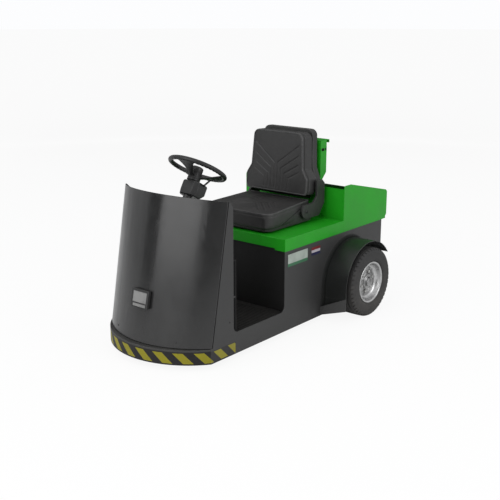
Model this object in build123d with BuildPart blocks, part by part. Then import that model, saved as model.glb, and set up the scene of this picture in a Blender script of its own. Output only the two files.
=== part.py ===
"""Airport baggage tug: a three-wheeled electric tow tractor with a seat and a small load bed.

Millimetres, +Z up, ground at Z = 0, the nose at -Y, the driver's left at +X.
The origin is on the ground in the middle of the overall length and width.
"""
import os
from math import atan, cos, degrees, radians, sin, sqrt

from build123d import *

# ---------------------------------------------------------------- driving dimensions
overall_length = 1960.0
nose = -overall_length / 2
tail = overall_length / 2

# body shell
half_width = 380.0          # outer face of the flat sides
panel_t = 5.0               # side, floor and bulkhead sheet
skirt_low = 34.0            # lower edge of skirt and sides
skirt_high = 118.0          # upper edge of the bumper skirt
skirt_radius = 468.0        # plan radius of the nose
skirt_wall = 10.0
skirt_flange_width = 34.0
skirt_flange_t = 5.0

# front shield, a sheet that leans back between two plan arcs
shield_low = 121.0
shield_high = 880.0         # at its two side edges
shield_t = 6.0              # measured along Y
seam_gap = 0.4
shield_low_side_from_nose = 199.0
shield_low_sag = 170.0
shield_high_side_from_nose = 337.0
shield_high_sag = 148.0
shield_top_rise = 0.145     # the top edge rises towards the nose

# doorway in each side
door_front_from_nose = 378.0
door_rear_from_tail = 1136.0
door_sill = 156.0
door_corner = 35.0
post_top = 850.0
post_round = 24.0
side_notch = 1.0            # the sides end this far below the shield
axle_hole_gap = 4.0

# seat deck and load bed, one green hood outside the sides
hood_t = 4.0
deck_top = 582.0
deck_lip_low = 510.0
deck_front_lip_low = 520.0
deck_corner = 75.0          # width of the deeper lip at each front corner
bed_front_from_tail = 555.0
bed_rear_from_tail = 57.0
bed_side_top = 790.0
bed_side_level = 72.0       # length of the level stretch behind the front corner
bed_side_rear_top = 694.0
bed_front_wall_top = 774.0
bed_rear_wall_top = 667.0
bed_rear_wall_inset = 12.0
bed_floor = 540.0
bed_tail_chamfer = 28.0
bed_corner_round = 16.0
bed_tail_round = 7.0
bed_front_wall_low = 540.0

# rear of the sides and the rear panel
side_rear_from_tail = 107.0
side_rear_low = 100.0
side_kink_from_tail = 727.0
side_kink_run = 66.0
rear_panel_t = 6.0

# footwell
floor_top = 148.0
bulkhead_from_nose = 404.0
shelf_top = 560.0
shelf_gap = 4.0
column_hole_gap = 8.0
box_front_from_tail = 1126.0

# chassis
rail_width = 50.0
rail_height = 60.0
rail_centre_x = 300.0
rail_low = 80.0
cross_width = 50.0
front_cross_gap = 11.0         # behind the bulkhead's front
middle_cross_gap = 16.0        # behind the battery box's front
rear_cross_gap = 109.0         # in front of the axle

# rear wheels
rear_wheel_from_tail = 501.0
rear_radius = 214.0
rear_width = 150.0
rear_wheel_stand_out = 188.0    # the tyre's outer face past the side
rear_rim_flange = 128.0
rear_rim_seat = 116.0
rear_rim_inset = 8.0
rear_disc_inset = 46.0
rim_wall = 6.0
hub_radius = 46.0
bead_gap = 0.2
flange_t = 4.0
hub_taper = 6.0
hub_end_inset = 14.0         # the hub's outer end behind the tyre's face
disc_t = 14.0
disc_dish_radius = 60.0
disc_hub_rise = 18.0
bead_rise = 14.0
rear_shoulder = 32.0

# rear axle
axle_tube_radius = 38.0
axle_tube_over = 28.0        # past the side
axle_stub_radius = 20.0
axle_stub_over = 160.0
stub_end_gap = 1.0
running_gap = 0.05
gearcase_radius = 95.0
gearcase_width = 150.0
motor_radius = 85.0
motor_length = 230.0
motor_rise = 40.0            # the motor's axis above the wheels' axis
motor_overlap = 8.0          # the motor's end is cut to the gearcase's curve
mount_x = 240.0
mount_t = 10.0
mount_width = 160.0
mount_low = 40.0             # below the axle's axis

# mudguards
guard_radius = 254.0
guard_t = 3.0
guard_width = 167.0
guard_rear_angle = 36.0
guard_front_low = 150.0
toe_side_low = 40.0
toe_outer_low = 88.0

# front wheel and fork
kingpin_from_nose = 225.0
front_radius = 158.0
front_width = 95.0
front_rim_seat = 92.0
front_axle_radius = 12.5
front_axle_over = 8.0        # past each fork leg
front_shoulder = 18.0
front_side_step = 4.0        # rim and beads inside the tyre's faces
front_bead_height = 12.0
front_rim_wall = 5.0
front_web_half = 7.0
front_hub_radius = 34.0
front_hub_over = 6.0         # the hub past the tyre's faces
fork_gap = 10.0
fork_leg_t = 12.0
fork_leg_width = 70.0
fork_crown_gap = 14.0
fork_crown_t = 14.0
fork_top_gap = 6.0
kingpin_radius = 25.0
kingpin_top = 444.0
head_radius = 45.0
head_high = 425.0
carrier_t = 12.0
carrier_front_from_nose = 170.0
carrier_width = 300.0
carrier_foot = 80.0          # depth of its wide foot on the bulkhead
gearbox_round = 12.0
kingpin_top_gap = 4.0
gearbox_width = 110.0
gearbox_high = 520.0

# steering column and wheel, on an axis that leans towards the driver
wheel_tilt = 31.0
wheel_from_nose = 523.0
wheel_z = 981.5
wheel_ring_radius = 156.6
wheel_tube_radius = 13.0
wheel_hub_radius = 34.0
wheel_hub_rise = 10.0
wheel_hub_depth = 60.0
spoke_width = 26.0
spoke_t = 9.0
spoke_drop = 50.0           # the spokes' lower face at the hub, below the ring's middle
spoke_angles = (-78.0, 42.0, 162.0)
column_radius = 24.0
column_gap = 5.0
shaft_radius = 11.0
shaft_length = 70.0
cover_width = 120.0
cover_depth = 108.0
cover_height = 82.0
cover_shift = 26.0
cover_round = 18.0
cover_drop = 10.0            # the cover's top below the column's top
lever_radius = 5.0
lever_length = 72.0
lever_before = 20.0          # in front of the wheel's centre
lever_z = 895.5
lever_rise = 0.75

# seat
seat_low = 594.0
seat_front_from_tail = 1126.0
seat_rear_from_tail = 698.0
seat_half_front = 252.0
seat_half_rear = 229.0
seat_taper_length = 86.0     # full width as far as this behind the front
seat_corner = 52.0
cushion_front_high = 704.0
cushion_rear_high = 722.0
cushion_edge = 16.0
rail_x = 150.0
seat_rail_width = 40.0
seat_rail_length = 330.0
seat_rail_shift = 30.0       # behind the seat's middle
pan_t = 16.0
pan_half = 240.0
pan_front_inset = 12.0
cheek_t = 8.0
cheek_length = 307.0         # in front of the seat's rear
cheek_front_rise = 19.0
cheek_front_run = 32.0
cheek_middle_rise = 56.0
cheek_middle_run = 158.0
cheek_rear_rise = 102.0
cheek_rear_run = 230.0
cheek_tail = 34.0
pivot_from_tail = 769.0
pivot_z = 658.0
pivot_radius = 9.0
pivot_over = 3.0
arm_gap = 5.0                # arms clear of the pan's cheeks
arm_t = 14.0
arm_width = 77.0
arm_foot_radius = 42.0
arm_rear_from_tail = 585.0
arm_top = 829.0
arm_foot_low = 614.0
arm_foot_high = 703.0
arm_heel_run = 54.0
arm_heel_rise = 72.0
arm_corner = 22.0
arm_inner_corner = 32.0
arm_pad_depth = 40.0
arm_pad_height = 40.0
arm_pad_inset = 10.0
back_front_from_tail = 743.0
back_t = 104.0
back_shell_t = 40.0
back_lean = 3.7
back_low = 744.0
back_high = 1115.0
back_foot_half = 203.0
back_foot_rise = 34.0
back_bolster_half = 217.0
back_bolster_top = 836.0
back_waist_half = 194.0
back_waist_z = 908.0
back_shoulder_half = 182.0
back_corner = 40.0
back_side_round = 20.0
back_edge = 20.0
shell_rise = 19.0
shell_over = 3.0
shell_low_rise = 10.0
shell_edge = 12.0
soft_gap = 0.3

# guard behind the seat
seat_guard_half = 206.0
seat_guard_t = 3.0
seat_guard_low = 700.0
seat_guard_high = 1050.0
seat_guard_flange = 62.0
seat_guard_hook = 90.0
seat_guard_lip = 20.0
seat_guard_taper_low = 792.0
slot_drop = 54.0             # slots' middle below the top
slot_height = 17.0
slot_lengths = (30.0, 15.0)
slot_pitch = 30.0
slot_start = 24.0

# battery
battery_gap = 20.0
battery_length = 420.0
battery_width = 560.0
battery_height = 330.0

# tow hitch
hitch_z = 300.0
hitch_gap = 62.0
jaw_t = 14.0
jaw_width = 110.0
tow_pin_radius = 14.0
tow_pin_gap = 0.5
hitch_plate_t = 12.0
hitch_plate_size = 190.0
hitch_bolt_spacing = 150.0
hitch_bolt_radius = 8.5
tow_pin_setback = 42.0          # from the jaws' ends
tow_pin_below = 12.0
tow_pin_collar = 8.0
tow_pin_collar_t = 10.0
tow_pin_neck = 4.0
tow_pin_neck_length = 48.0
tow_pin_handle = 70.0
tow_pin_handle_t = 14.0

# lamp, plates and pedals
lamp_z = 351.0
lamp_width = 124.0
lamp_height = 96.0
lamp_depth = 20.0
lamp_round = 6.0
lens_width = 98.0
lens_height = 58.0
lens_rise = 6.0              # above the lamp's middle
lip_width = 92.0
lip_height = 16.0
lip_drop = 38.0              # below the lamp's middle
lens_t = 5.0
lens_side_gap = 0.2
plate_t = 1.5
name_plate_from_tail = 1014.0
name_plate_length = 188.0
name_plate_low = 415.0
name_plate_high = 487.0
stripe_plate_from_tail = 837.0
stripe_plate_length = 86.0
stripe_plate_low = 436.0
stripe_plate_high = 474.0
pedal_width = 70.0
pedal_t = 8.0
pedal_run = 85.0
pedal_rise = 96.0
pedal_setback = 112.0
accelerator_x = -110.0
brake_x = 60.0

# ---------------------------------------------------------------- derived places
shield_low_side = nose + shield_low_side_from_nose
shield_high_side = nose + shield_high_side_from_nose
door_front = nose + door_front_from_nose
door_rear = tail - door_rear_from_tail
bed_front = tail - bed_front_from_tail
bed_rear = tail - bed_rear_from_tail
side_rear = tail - side_rear_from_tail
side_kink = tail - side_kink_from_tail
bulkhead_y = nose + bulkhead_from_nose
box_front_y = tail - box_front_from_tail
rear_wheel_y = tail - rear_wheel_from_tail
kingpin_y = nose + kingpin_from_nose
carrier_front = nose + carrier_front_from_nose
wheel_y = nose + wheel_from_nose
seat_front = tail - seat_front_from_tail
seat_rear = tail - seat_rear_from_tail
pivot_y = tail - pivot_from_tail
arm_rear_y = tail - arm_rear_from_tail
back_front_y = tail - back_front_from_tail
skirt_centre_y = nose + skirt_radius
skirt_side_y = skirt_centre_y - sqrt(skirt_radius**2 - half_width**2)
shield_rise_angle = degrees(atan(shield_top_rise))
side_inner = half_width - panel_t
rear_outer_x = half_width + rear_wheel_stand_out
guard_outer_x = half_width + guard_width
axle_tube_end = half_width + axle_tube_over
axle_stub_end = half_width + axle_stub_over
hood_half = half_width + hood_t
fork_inner_x = front_width / 2 + fork_gap
crown_low = 2 * front_radius + fork_crown_gap
crown_high = crown_low + fork_crown_t
carrier_low = crown_high + fork_top_gap

column_plane = Plane(
    origin=(0, wheel_y, wheel_z),
    x_dir=(1, 0, 0),
    z_dir=(0, sin(radians(wheel_tilt)), cos(radians(wheel_tilt))),
)

os.makedirs("parts", exist_ok=True)


def save(builder, label):
    """Label a finished piece and write it as its own STEP file."""
    builder.part.label = label
    export_step(builder.part, f"parts/{label}.step")


def shield_side_y(z):
    """Front of the shield at the flat sides, at height z."""
    share = (z - shield_low) / (shield_high - shield_low)
    return shield_low_side + share * (shield_high_side - shield_low_side)


def shield_sag(z):
    """How far the shield's middle stands in front of its sides, at height z."""
    share = (z - shield_low) / (shield_high - shield_low)
    return shield_low_sag + share * (shield_high_sag - shield_low_sag)


# ---------------------------------------------------------------- bumper skirt
with BuildPart() as front_skirt:
    for low, high, depth in (
        (skirt_low, skirt_high, skirt_wall),
        (skirt_high - skirt_flange_t, skirt_high, skirt_flange_width),
    ):
        with BuildSketch(Plane.XY.offset(low)):
            with Locations((0, skirt_centre_y)):
                Circle(skirt_radius)
                Circle(skirt_radius - depth, mode=Mode.SUBTRACT)
            with Locations((0, nose + (skirt_side_y - nose) / 2)):
                Rectangle(2 * half_width, skirt_side_y - nose, mode=Mode.INTERSECT)
        extrude(amount=high - low)
save(front_skirt, "front_skirt")

# ---------------------------------------------------------------- leaning front shield
shield_low_plane = Plane.XY.offset(shield_low).shift_origin((0, shield_low_side, shield_low))
shield_high_plane = Plane(
    origin=(0, shield_high_side, shield_high),
    x_dir=(1, 0, 0),
    z_dir=(0, sin(radians(shield_rise_angle)), cos(radians(shield_rise_angle))),
)
with BuildPart() as front_shield:
    for plane, sag in ((shield_low_plane, shield_low_sag), (shield_high_plane, shield_high_sag)):
        with BuildSketch(plane):
            with BuildLine():
                ThreePointArc((-half_width, 0), (0, -sag), (half_width, 0))
                Line((half_width, 0), (half_width, shield_t))
                ThreePointArc((half_width, shield_t), (0, shield_t - sag), (-half_width, shield_t))
                Line((-half_width, shield_t), (-half_width, 0))
            make_face()
    loft(ruled=True)
save(front_shield, "front_shield")

# ---------------------------------------------------------------- flat sides with their doorways
side_outline = [
    (skirt_side_y, skirt_low),
    (skirt_side_y, shield_low - side_notch),
    (shield_side_y(shield_low) + shield_t + seam_gap, shield_low - side_notch),
    (shield_side_y(shield_high) + shield_t + seam_gap, shield_high),
    (door_front, post_top),
    (door_front, door_sill),
    (door_rear, door_sill),
    (door_rear, deck_top - hood_t),
    (bed_front, deck_top - hood_t),
    (bed_front, bed_floor - hood_t),
    (side_rear, bed_floor - hood_t),
    (side_rear, side_rear_low),
    (side_kink + side_kink_run, side_rear_low),
    (side_kink, skirt_low),
]
for label, inner_x in (("side_panel_left", side_inner), ("side_panel_right", -half_width)):
    with BuildPart() as side_panel:
        with BuildSketch(Plane.YZ.offset(inner_x)):
            with BuildLine():
                Polyline(*side_outline, close=True)
            make_face()
            door_corners = [
                corner for corner in vertices()
                if abs(corner.Y - door_sill) < 1 and door_front - 1 < corner.X < door_rear + 1
            ]
            fillet(door_corners, door_corner)
            post_corner = [c for c in vertices() if abs(c.X - door_front) < 1 and c.Y > post_top - 1]
            fillet(post_corner, post_round)
            with Locations((rear_wheel_y, rear_radius)):
                Circle(axle_tube_radius + axle_hole_gap, mode=Mode.SUBTRACT)
        extrude(amount=panel_t)
    save(side_panel, label)

# ---------------------------------------------------------------- chassis frame under the floor
frame_front = bulkhead_y + front_cross_gap
frame_rear = rear_wheel_y - rear_cross_gap
cross_fronts = (frame_front, box_front_y + middle_cross_gap, frame_rear - cross_width)
with BuildPart() as chassis_frame:
    for x in (-rail_centre_x, rail_centre_x):
        with Locations((x, (frame_front + frame_rear) / 2, rail_low + rail_height / 2)):
            Box(rail_width, frame_rear - frame_front, rail_height)
    for cross_front in cross_fronts:
        with Locations((0, cross_front + cross_width / 2, rail_low + rail_height / 2)):
            Box(2 * side_inner, cross_width, rail_height)
save(chassis_frame, "chassis_frame")

# ---------------------------------------------------------------- footwell floor and bulkhead
with BuildPart() as floor_plate:
    with BuildSketch(Plane.XY.offset(rail_low + rail_height)):
        with Locations((0, (bulkhead_y + box_front_y + panel_t) / 2)):
            Rectangle(2 * side_inner, box_front_y + panel_t - bulkhead_y)
    extrude(amount=floor_top - rail_low - rail_height)
save(floor_plate, "floor_plate")

with BuildPart() as bulkhead:
    with BuildSketch(Plane.XZ.offset(-bulkhead_y)):
        with Locations((0, (rail_low + shelf_top) / 2)):
            Rectangle(2 * side_inner, shelf_top - rail_low)
    extrude(amount=panel_t)
    shelf_side = shield_side_y(shelf_top) + shield_t + shelf_gap
    shelf_middle = shield_side_y(shelf_top) - shield_sag(shelf_top) + shield_t + shelf_gap
    with BuildSketch(Plane.XY.offset(shelf_top - panel_t)):
        with BuildLine():
            ThreePointArc((-side_inner, shelf_side), (0, shelf_middle), (side_inner, shelf_side))
            Polyline((side_inner, shelf_side), (side_inner, bulkhead_y),
                     (-side_inner, bulkhead_y), (-side_inner, shelf_side))
        make_face()
    extrude(amount=panel_t)
    column_at_shelf = wheel_y - (wheel_z - shelf_top) * sin(radians(wheel_tilt)) / cos(radians(wheel_tilt))
    with BuildSketch(Plane.XY.offset(shelf_top - panel_t)):
        with Locations((0, column_at_shelf)):
            Ellipse(column_radius + column_hole_gap,
                    (column_radius + 1.5 * column_hole_gap) / cos(radians(wheel_tilt)))
    extrude(amount=panel_t, mode=Mode.SUBTRACT)
save(bulkhead, "bulkhead")

# ---------------------------------------------------------------- front of the battery box
with BuildPart() as battery_box_front:
    box_top = deck_top - hood_t
    with Locations((0, box_front_y + panel_t / 2, (floor_top + box_top) / 2)):
        Box(2 * side_inner, panel_t, box_top - floor_top)
save(battery_box_front, "battery_box_front")

# ---------------------------------------------------------------- seat deck
with BuildPart() as seat_deck:
    with Locations((0, (door_rear + bed_front) / 2, deck_top - hood_t / 2)):
        Box(2 * hood_half, bed_front - door_rear, hood_t)
    for x in (-half_width - hood_t / 2, half_width + hood_t / 2):
        with Locations((x, (door_rear + bed_front) / 2, (deck_lip_low + deck_top) / 2)):
            Box(hood_t, bed_front - door_rear, deck_top - deck_lip_low)
    with Locations((0, door_rear - hood_t / 2, (deck_front_lip_low + deck_top) / 2)):
        Box(2 * hood_half, hood_t, deck_top - deck_front_lip_low)
    for side in (-1, 1):
        corner_x = side * (hood_half - deck_corner / 2)
        with Locations((corner_x, door_rear - hood_t / 2, (deck_lip_low + deck_top) / 2)):
            Box(deck_corner, hood_t, deck_top - deck_lip_low)
save(seat_deck, "seat_deck")

# ---------------------------------------------------------------- load bed
bed_side_outline = [
    (bed_front, deck_lip_low),
    (bed_front, bed_side_top),
    (bed_front + bed_side_level, bed_side_top),
    (bed_rear - bed_tail_chamfer / 2, bed_side_rear_top),
    (bed_rear, bed_side_rear_top - bed_tail_chamfer / 2),
    (bed_rear, deck_lip_low + bed_tail_chamfer),
    (bed_rear - bed_tail_chamfer, deck_lip_low),
]
bed_rear_wall_y = bed_rear - bed_rear_wall_inset
with BuildPart() as load_bed:
    for x in (-hood_half, half_width):
        with BuildSketch(Plane.YZ.offset(x)):
            with BuildLine():
                Polyline(*bed_side_outline, close=True)
            make_face()
            fillet([c for c in vertices() if c.X < bed_front + 1 and c.Y > bed_side_top - 1],
                   bed_corner_round)
            fillet([c for c in vertices() if c.X > bed_rear - bed_tail_chamfer - 1], bed_tail_round)
        extrude(amount=hood_t)
    for y, low, high in (
        (bed_front, bed_front_wall_low, bed_front_wall_top),
        (bed_rear_wall_y - hood_t, deck_lip_low, bed_rear_wall_top),
    ):
        with Locations((0, y + hood_t / 2, (low + high) / 2)):
            Box(2 * hood_half, hood_t, high - low)
    with Locations((0, (bed_front + bed_rear_wall_y) / 2, bed_floor + hood_t / 2)):
        Box(2 * hood_half, bed_rear_wall_y - bed_front, hood_t)
save(load_bed, "load_bed")

# ---------------------------------------------------------------- rear panel
with BuildPart() as rear_panel:
    with Locations((0, side_rear - rear_panel_t / 2, (side_rear_low + bed_floor) / 2)):
        Box(2 * side_inner, rear_panel_t, bed_floor - side_rear_low)
    with BuildSketch(Plane.XZ.offset(-side_rear)):
        with Locations((0, hitch_z)):
            with GridLocations(hitch_bolt_spacing, hitch_bolt_spacing, 2, 2):
                Circle(hitch_bolt_radius)
    extrude(amount=rear_panel_t, mode=Mode.SUBTRACT)
save(rear_panel, "rear_panel")

# ---------------------------------------------------------------- guard behind the seat
with BuildPart() as seat_guard:
    guard_front = bed_front - seat_guard_t
    with Locations((0, guard_front + seat_guard_t / 2, (seat_guard_low + seat_guard_high) / 2)):
        Box(2 * seat_guard_half, seat_guard_t, seat_guard_high - seat_guard_low)
    for x in (-seat_guard_half, seat_guard_half - seat_guard_t):
        with BuildSketch(Plane.YZ.offset(x)):
            with BuildLine():
                Polyline(
                    (guard_front, seat_guard_taper_low),
                    (guard_front, seat_guard_high),
                    (guard_front + seat_guard_flange, seat_guard_high),
                    (guard_front + seat_guard_flange, seat_guard_taper_low + seat_guard_flange),
                    close=True,
                )
            make_face()
            for number, length in enumerate(slot_lengths):
                slot_y = guard_front + slot_start + number * slot_pitch
                with Locations((slot_y, seat_guard_high - slot_drop)):
                    Rectangle(length, slot_height, mode=Mode.SUBTRACT)
        extrude(amount=seat_guard_t)
    with Locations((0, guard_front + seat_guard_hook / 2, seat_guard_high + seat_guard_t / 2)):
        Box(2 * seat_guard_half, seat_guard_hook, seat_guard_t)
    with Locations((0, guard_front + seat_guard_hook - seat_guard_t / 2,
                    seat_guard_high + seat_guard_t - seat_guard_lip / 2)):
        Box(2 * seat_guard_half, seat_guard_t, seat_guard_lip)
save(seat_guard, "seat_guard")

# ---------------------------------------------------------------- mudguards and their toe plates
for side, name in ((1, "left"), (-1, "right")):
    inner_x = half_width if side > 0 else -guard_outer_x
    with BuildPart() as mudguard:
        with BuildSketch(Plane.YZ.offset(inner_x)):
            with BuildLine():
                outer = CenterArc((rear_wheel_y, rear_radius), guard_radius,
                                  guard_rear_angle, 180 - guard_rear_angle)
                inner = CenterArc((rear_wheel_y, rear_radius), guard_radius - guard_t,
                                  guard_rear_angle, 180 - guard_rear_angle)
                Line(outer @ 0, inner @ 0)
                Line(outer @ 1, (rear_wheel_y - guard_radius, guard_front_low))
                Line((rear_wheel_y - guard_radius, guard_front_low),
                     (rear_wheel_y - guard_radius + guard_t, guard_front_low))
                Line((rear_wheel_y - guard_radius + guard_t, guard_front_low), inner @ 1)
            make_face()
        extrude(amount=guard_outer_x - half_width)
    save(mudguard, f"mudguard_{name}")

with BuildPart() as mudguard_toes:
    for side in (-1, 1):
        with BuildSketch(Plane.XZ.offset(-(rear_wheel_y - guard_radius + guard_t))):
            with BuildLine():
                Polyline(
                    (side * half_width, guard_front_low),
                    (side * half_width, toe_side_low),
                    (side * guard_outer_x, toe_outer_low),
                    (side * guard_outer_x, guard_front_low),
                    close=True,
                )
            make_face()
        extrude(amount=guard_t)
save(mudguard_toes, "mudguard_toes")

# ---------------------------------------------------------------- rear axle and its drive
with BuildPart() as rear_axle:
    axle_plane = Plane.YZ
    with BuildSketch(axle_plane):
        with Locations((rear_wheel_y, rear_radius)):
            Circle(axle_tube_radius)
    extrude(amount=axle_tube_end, both=True)
    with BuildSketch(axle_plane):
        with Locations((rear_wheel_y, rear_radius)):
            Circle(axle_stub_radius)
    extrude(amount=axle_stub_end, both=True)
    with BuildSketch(axle_plane):
        with Locations((rear_wheel_y, rear_radius)):
            Circle(gearcase_radius)
    extrude(amount=gearcase_width / 2, both=True)
save(rear_axle, "rear_axle")

with BuildPart() as drive_motor:
    motor_z = rear_radius + motor_rise
    motor_front = rear_wheel_y + gearcase_radius - motor_overlap
    with BuildSketch(Plane.XZ.offset(-motor_front)):
        with Locations((0, motor_z)):
            Circle(motor_radius)
    extrude(amount=-motor_length)
    with BuildSketch(Plane.YZ):
        with Locations((rear_wheel_y, rear_radius)):
            Circle(gearcase_radius)
    extrude(amount=gearcase_width / 2, both=True, mode=Mode.SUBTRACT)
save(drive_motor, "drive_motor")

# the axle hangs from two upright plates below the bed
with BuildPart() as axle_mounts:
    for x in (-mount_x, mount_x):
        with BuildSketch(Plane.YZ.offset(x - mount_t / 2)):
            with Locations((rear_wheel_y, (rear_radius - mount_low + bed_floor) / 2)):
                Rectangle(mount_width, bed_floor - rear_radius + mount_low)
            with Locations((rear_wheel_y, rear_radius)):
                Circle(axle_tube_radius, mode=Mode.SUBTRACT)
        extrude(amount=mount_t)
save(axle_mounts, "axle_mounts")

# ---------------------------------------------------------------- battery
with BuildPart() as battery:
    battery_front = box_front_y + panel_t + battery_gap
    with Locations((0, battery_front + battery_length / 2,
                    rail_low + rail_height + battery_height / 2)):
        Box(battery_width, battery_length, battery_height)
save(battery, "battery")

# ---------------------------------------------------------------- wheels
def ring_profile(width, outer, seat, bead_half, bead_high):
    """Half section of a tyre across its width, with its beads inside the rim's flanges."""
    half = width / 2
    right = [
        (bead_half, seat), (bead_half, bead_high), (half, bead_high + bead_rise), (half, outer),
    ]
    return [(-x, radius) for x, radius in right] + list(reversed(right))


for side, name in ((1, "left"), (-1, "right")):
    hub_plane = Plane(origin=(side * (rear_outer_x - rear_width / 2), rear_wheel_y, rear_radius),
                      x_dir=(side, 0, 0), z_dir=(0, -side, 0))
    with BuildPart() as rear_tyre:
        with BuildSketch(hub_plane):
            with BuildLine():
                Polyline(*ring_profile(rear_width, rear_radius, rear_rim_seat + bead_gap,
                                       rear_width / 2 - rear_rim_inset - flange_t - bead_gap,
                                       rear_rim_flange), close=True)
            make_face()
            fillet(vertices().group_by(Axis.Y)[-1], rear_shoulder)
        revolve(axis=Axis(hub_plane.origin, (1, 0, 0)), revolution_arc=360)
    save(rear_tyre, f"rear_tyre_{name}")

    half = rear_width / 2
    rim_out = half - rear_rim_inset
    disc = half - rear_disc_inset
    rim_inner = rear_rim_seat - rim_wall
    stub_hole = axle_stub_end - hub_plane.origin.X * side + stub_end_gap
    hub_bore = axle_stub_radius + running_gap
    with BuildPart() as rear_rim:
        with BuildSketch(hub_plane):
            with BuildLine():
                Polyline(
                    (-rim_out, rim_inner), (-rim_out, rear_rim_seat),
                    (rim_out - flange_t, rear_rim_seat), (rim_out - flange_t, rear_rim_flange),
                    (rim_out, rear_rim_flange), (rim_out, rim_inner),
                    (disc + flange_t, rim_inner - flange_t), (disc, disc_dish_radius),
                    (disc + disc_hub_rise, hub_radius), (half - hub_end_inset, hub_radius - hub_taper),
                    (half - hub_end_inset, 0.0), (stub_hole, 0.0), (stub_hole, hub_bore),
                    (-rim_out, hub_bore), (-rim_out, hub_radius),
                    (disc - disc_t, hub_radius), (disc - disc_t, rim_inner - flange_t),
                    close=True,
                )
            make_face()
        revolve(axis=Axis(hub_plane.origin, (1, 0, 0)), revolution_arc=360)
    save(rear_rim, f"rear_rim_{name}")

front_plane = Plane(origin=(0, kingpin_y, front_radius), x_dir=(1, 0, 0), z_dir=(0, -1, 0))
with BuildPart() as front_tyre:
    with BuildSketch(front_plane):
        with BuildLine():
            Polyline(*ring_profile(front_width, front_radius, front_rim_seat + bead_gap,
                                   front_width / 2 - front_side_step,
                                   front_rim_seat + front_bead_height), close=True)
        make_face()
        fillet(vertices().group_by(Axis.Y)[-1], front_shoulder)
    revolve(axis=Axis(front_plane.origin, (1, 0, 0)), revolution_arc=360)
save(front_tyre, "front_tyre")

with BuildPart() as front_rim:
    rim_half = front_width / 2 - front_side_step
    hub_half = front_width / 2 + front_hub_over
    rim_inner = front_rim_seat - front_rim_wall
    right_rim = [
        (rim_half, front_rim_seat), (rim_half, rim_inner), (front_web_half, rim_inner - front_side_step),
        (front_web_half, front_hub_radius), (hub_half, front_hub_radius - front_hub_over),
        (hub_half, front_axle_radius + running_gap),
    ]
    with BuildSketch(front_plane):
        with BuildLine():
            Polyline(*right_rim, *[(-x, radius) for x, radius in reversed(right_rim)], close=True)
        make_face()
    revolve(axis=Axis(front_plane.origin, (1, 0, 0)), revolution_arc=360)
save(front_rim, "front_rim")

# ---------------------------------------------------------------- steering fork
with BuildPart() as front_fork:
    for x in (-fork_inner_x - fork_leg_t, fork_inner_x):
        with BuildSketch(Plane.YZ.offset(x)):
            with Locations((kingpin_y, (front_radius + crown_high) / 2)):
                Rectangle(fork_leg_width, crown_high - front_radius)
            with Locations((kingpin_y, front_radius)):
                Circle(fork_leg_width / 2)
                Circle(front_axle_radius, mode=Mode.SUBTRACT)
        extrude(amount=fork_leg_t)
    with Locations((0, kingpin_y, (crown_low + crown_high) / 2)):
        Box(2 * (fork_inner_x + fork_leg_t), fork_leg_width, fork_crown_t)
    with BuildSketch(Plane.XY.offset(crown_high)):
        with Locations((0, kingpin_y)):
            Circle(kingpin_radius)
    extrude(amount=kingpin_top - crown_high)
save(front_fork, "front_fork")

with BuildPart() as front_axle:
    with BuildSketch(Plane.YZ):
        with Locations((kingpin_y, front_radius)):
            Circle(front_axle_radius)
    extrude(amount=fork_inner_x + fork_leg_t + front_axle_over, both=True)
save(front_axle, "front_axle")

with BuildPart() as steering_carrier:
    with BuildSketch(Plane.XY.offset(carrier_low)):
        with Locations((0, (carrier_front + bulkhead_y - panel_t) / 2)):
            Rectangle(carrier_width, bulkhead_y - panel_t - carrier_front)
        with Locations((0, bulkhead_y - panel_t - carrier_foot / 2)):
            Rectangle(2 * side_inner, carrier_foot)
    extrude(amount=carrier_t)
    with BuildSketch(Plane.XY.offset(carrier_low)):
        with Locations((0, kingpin_y)):
            Circle(head_radius)
    extrude(amount=head_high - carrier_low)
    with BuildSketch(Plane.XY.offset(carrier_low)):
        with Locations((0, kingpin_y)):
            Circle(kingpin_radius + running_gap)
    extrude(amount=head_high - carrier_low, mode=Mode.SUBTRACT)
save(steering_carrier, "steering_carrier")

with BuildPart() as steering_gearbox:
    with Locations((0, kingpin_y, (head_high + gearbox_high) / 2)):
        Box(gearbox_width, gearbox_width, gearbox_high - head_high)
    fillet(edges().filter_by(Axis.Z), gearbox_round)
    with BuildSketch(Plane.XY.offset(head_high)):
        with Locations((0, kingpin_y)):
            Circle(kingpin_radius + kingpin_top_gap)
    extrude(amount=kingpin_top - head_high + kingpin_top_gap, mode=Mode.SUBTRACT)
save(steering_gearbox, "steering_gearbox")

# ---------------------------------------------------------------- steering column and wheel
column_top = -(wheel_hub_depth + column_gap)
axis_drop = wheel_y - kingpin_y
column_foot = -(axis_drop / sin(radians(wheel_tilt)))
with BuildPart() as steering_column:
    with BuildSketch(column_plane.offset(column_foot)):
        Circle(column_radius)
    extrude(amount=column_top - column_foot)
    with Locations((0, kingpin_y, (head_high + gearbox_high) / 2)):
        Box(gearbox_width, gearbox_width, gearbox_high - head_high, mode=Mode.SUBTRACT)
    with BuildSketch(column_plane.offset(column_top - shaft_length)):
        Circle(shaft_radius + running_gap)
    extrude(amount=shaft_length, mode=Mode.SUBTRACT)
save(steering_column, "steering_column")

cover_top = column_top - cover_drop
with BuildPart() as column_cover:
    with BuildSketch(column_plane.offset(cover_top - cover_height)):
        with Locations((0, cover_shift)):
            RectangleRounded(cover_width, cover_depth, cover_round)
    extrude(amount=cover_height)
    with BuildSketch(column_plane.offset(cover_top - cover_height)):
        Circle(column_radius + seam_gap / 4)
    extrude(amount=cover_height, mode=Mode.SUBTRACT)
save(column_cover, "column_cover")

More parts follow.
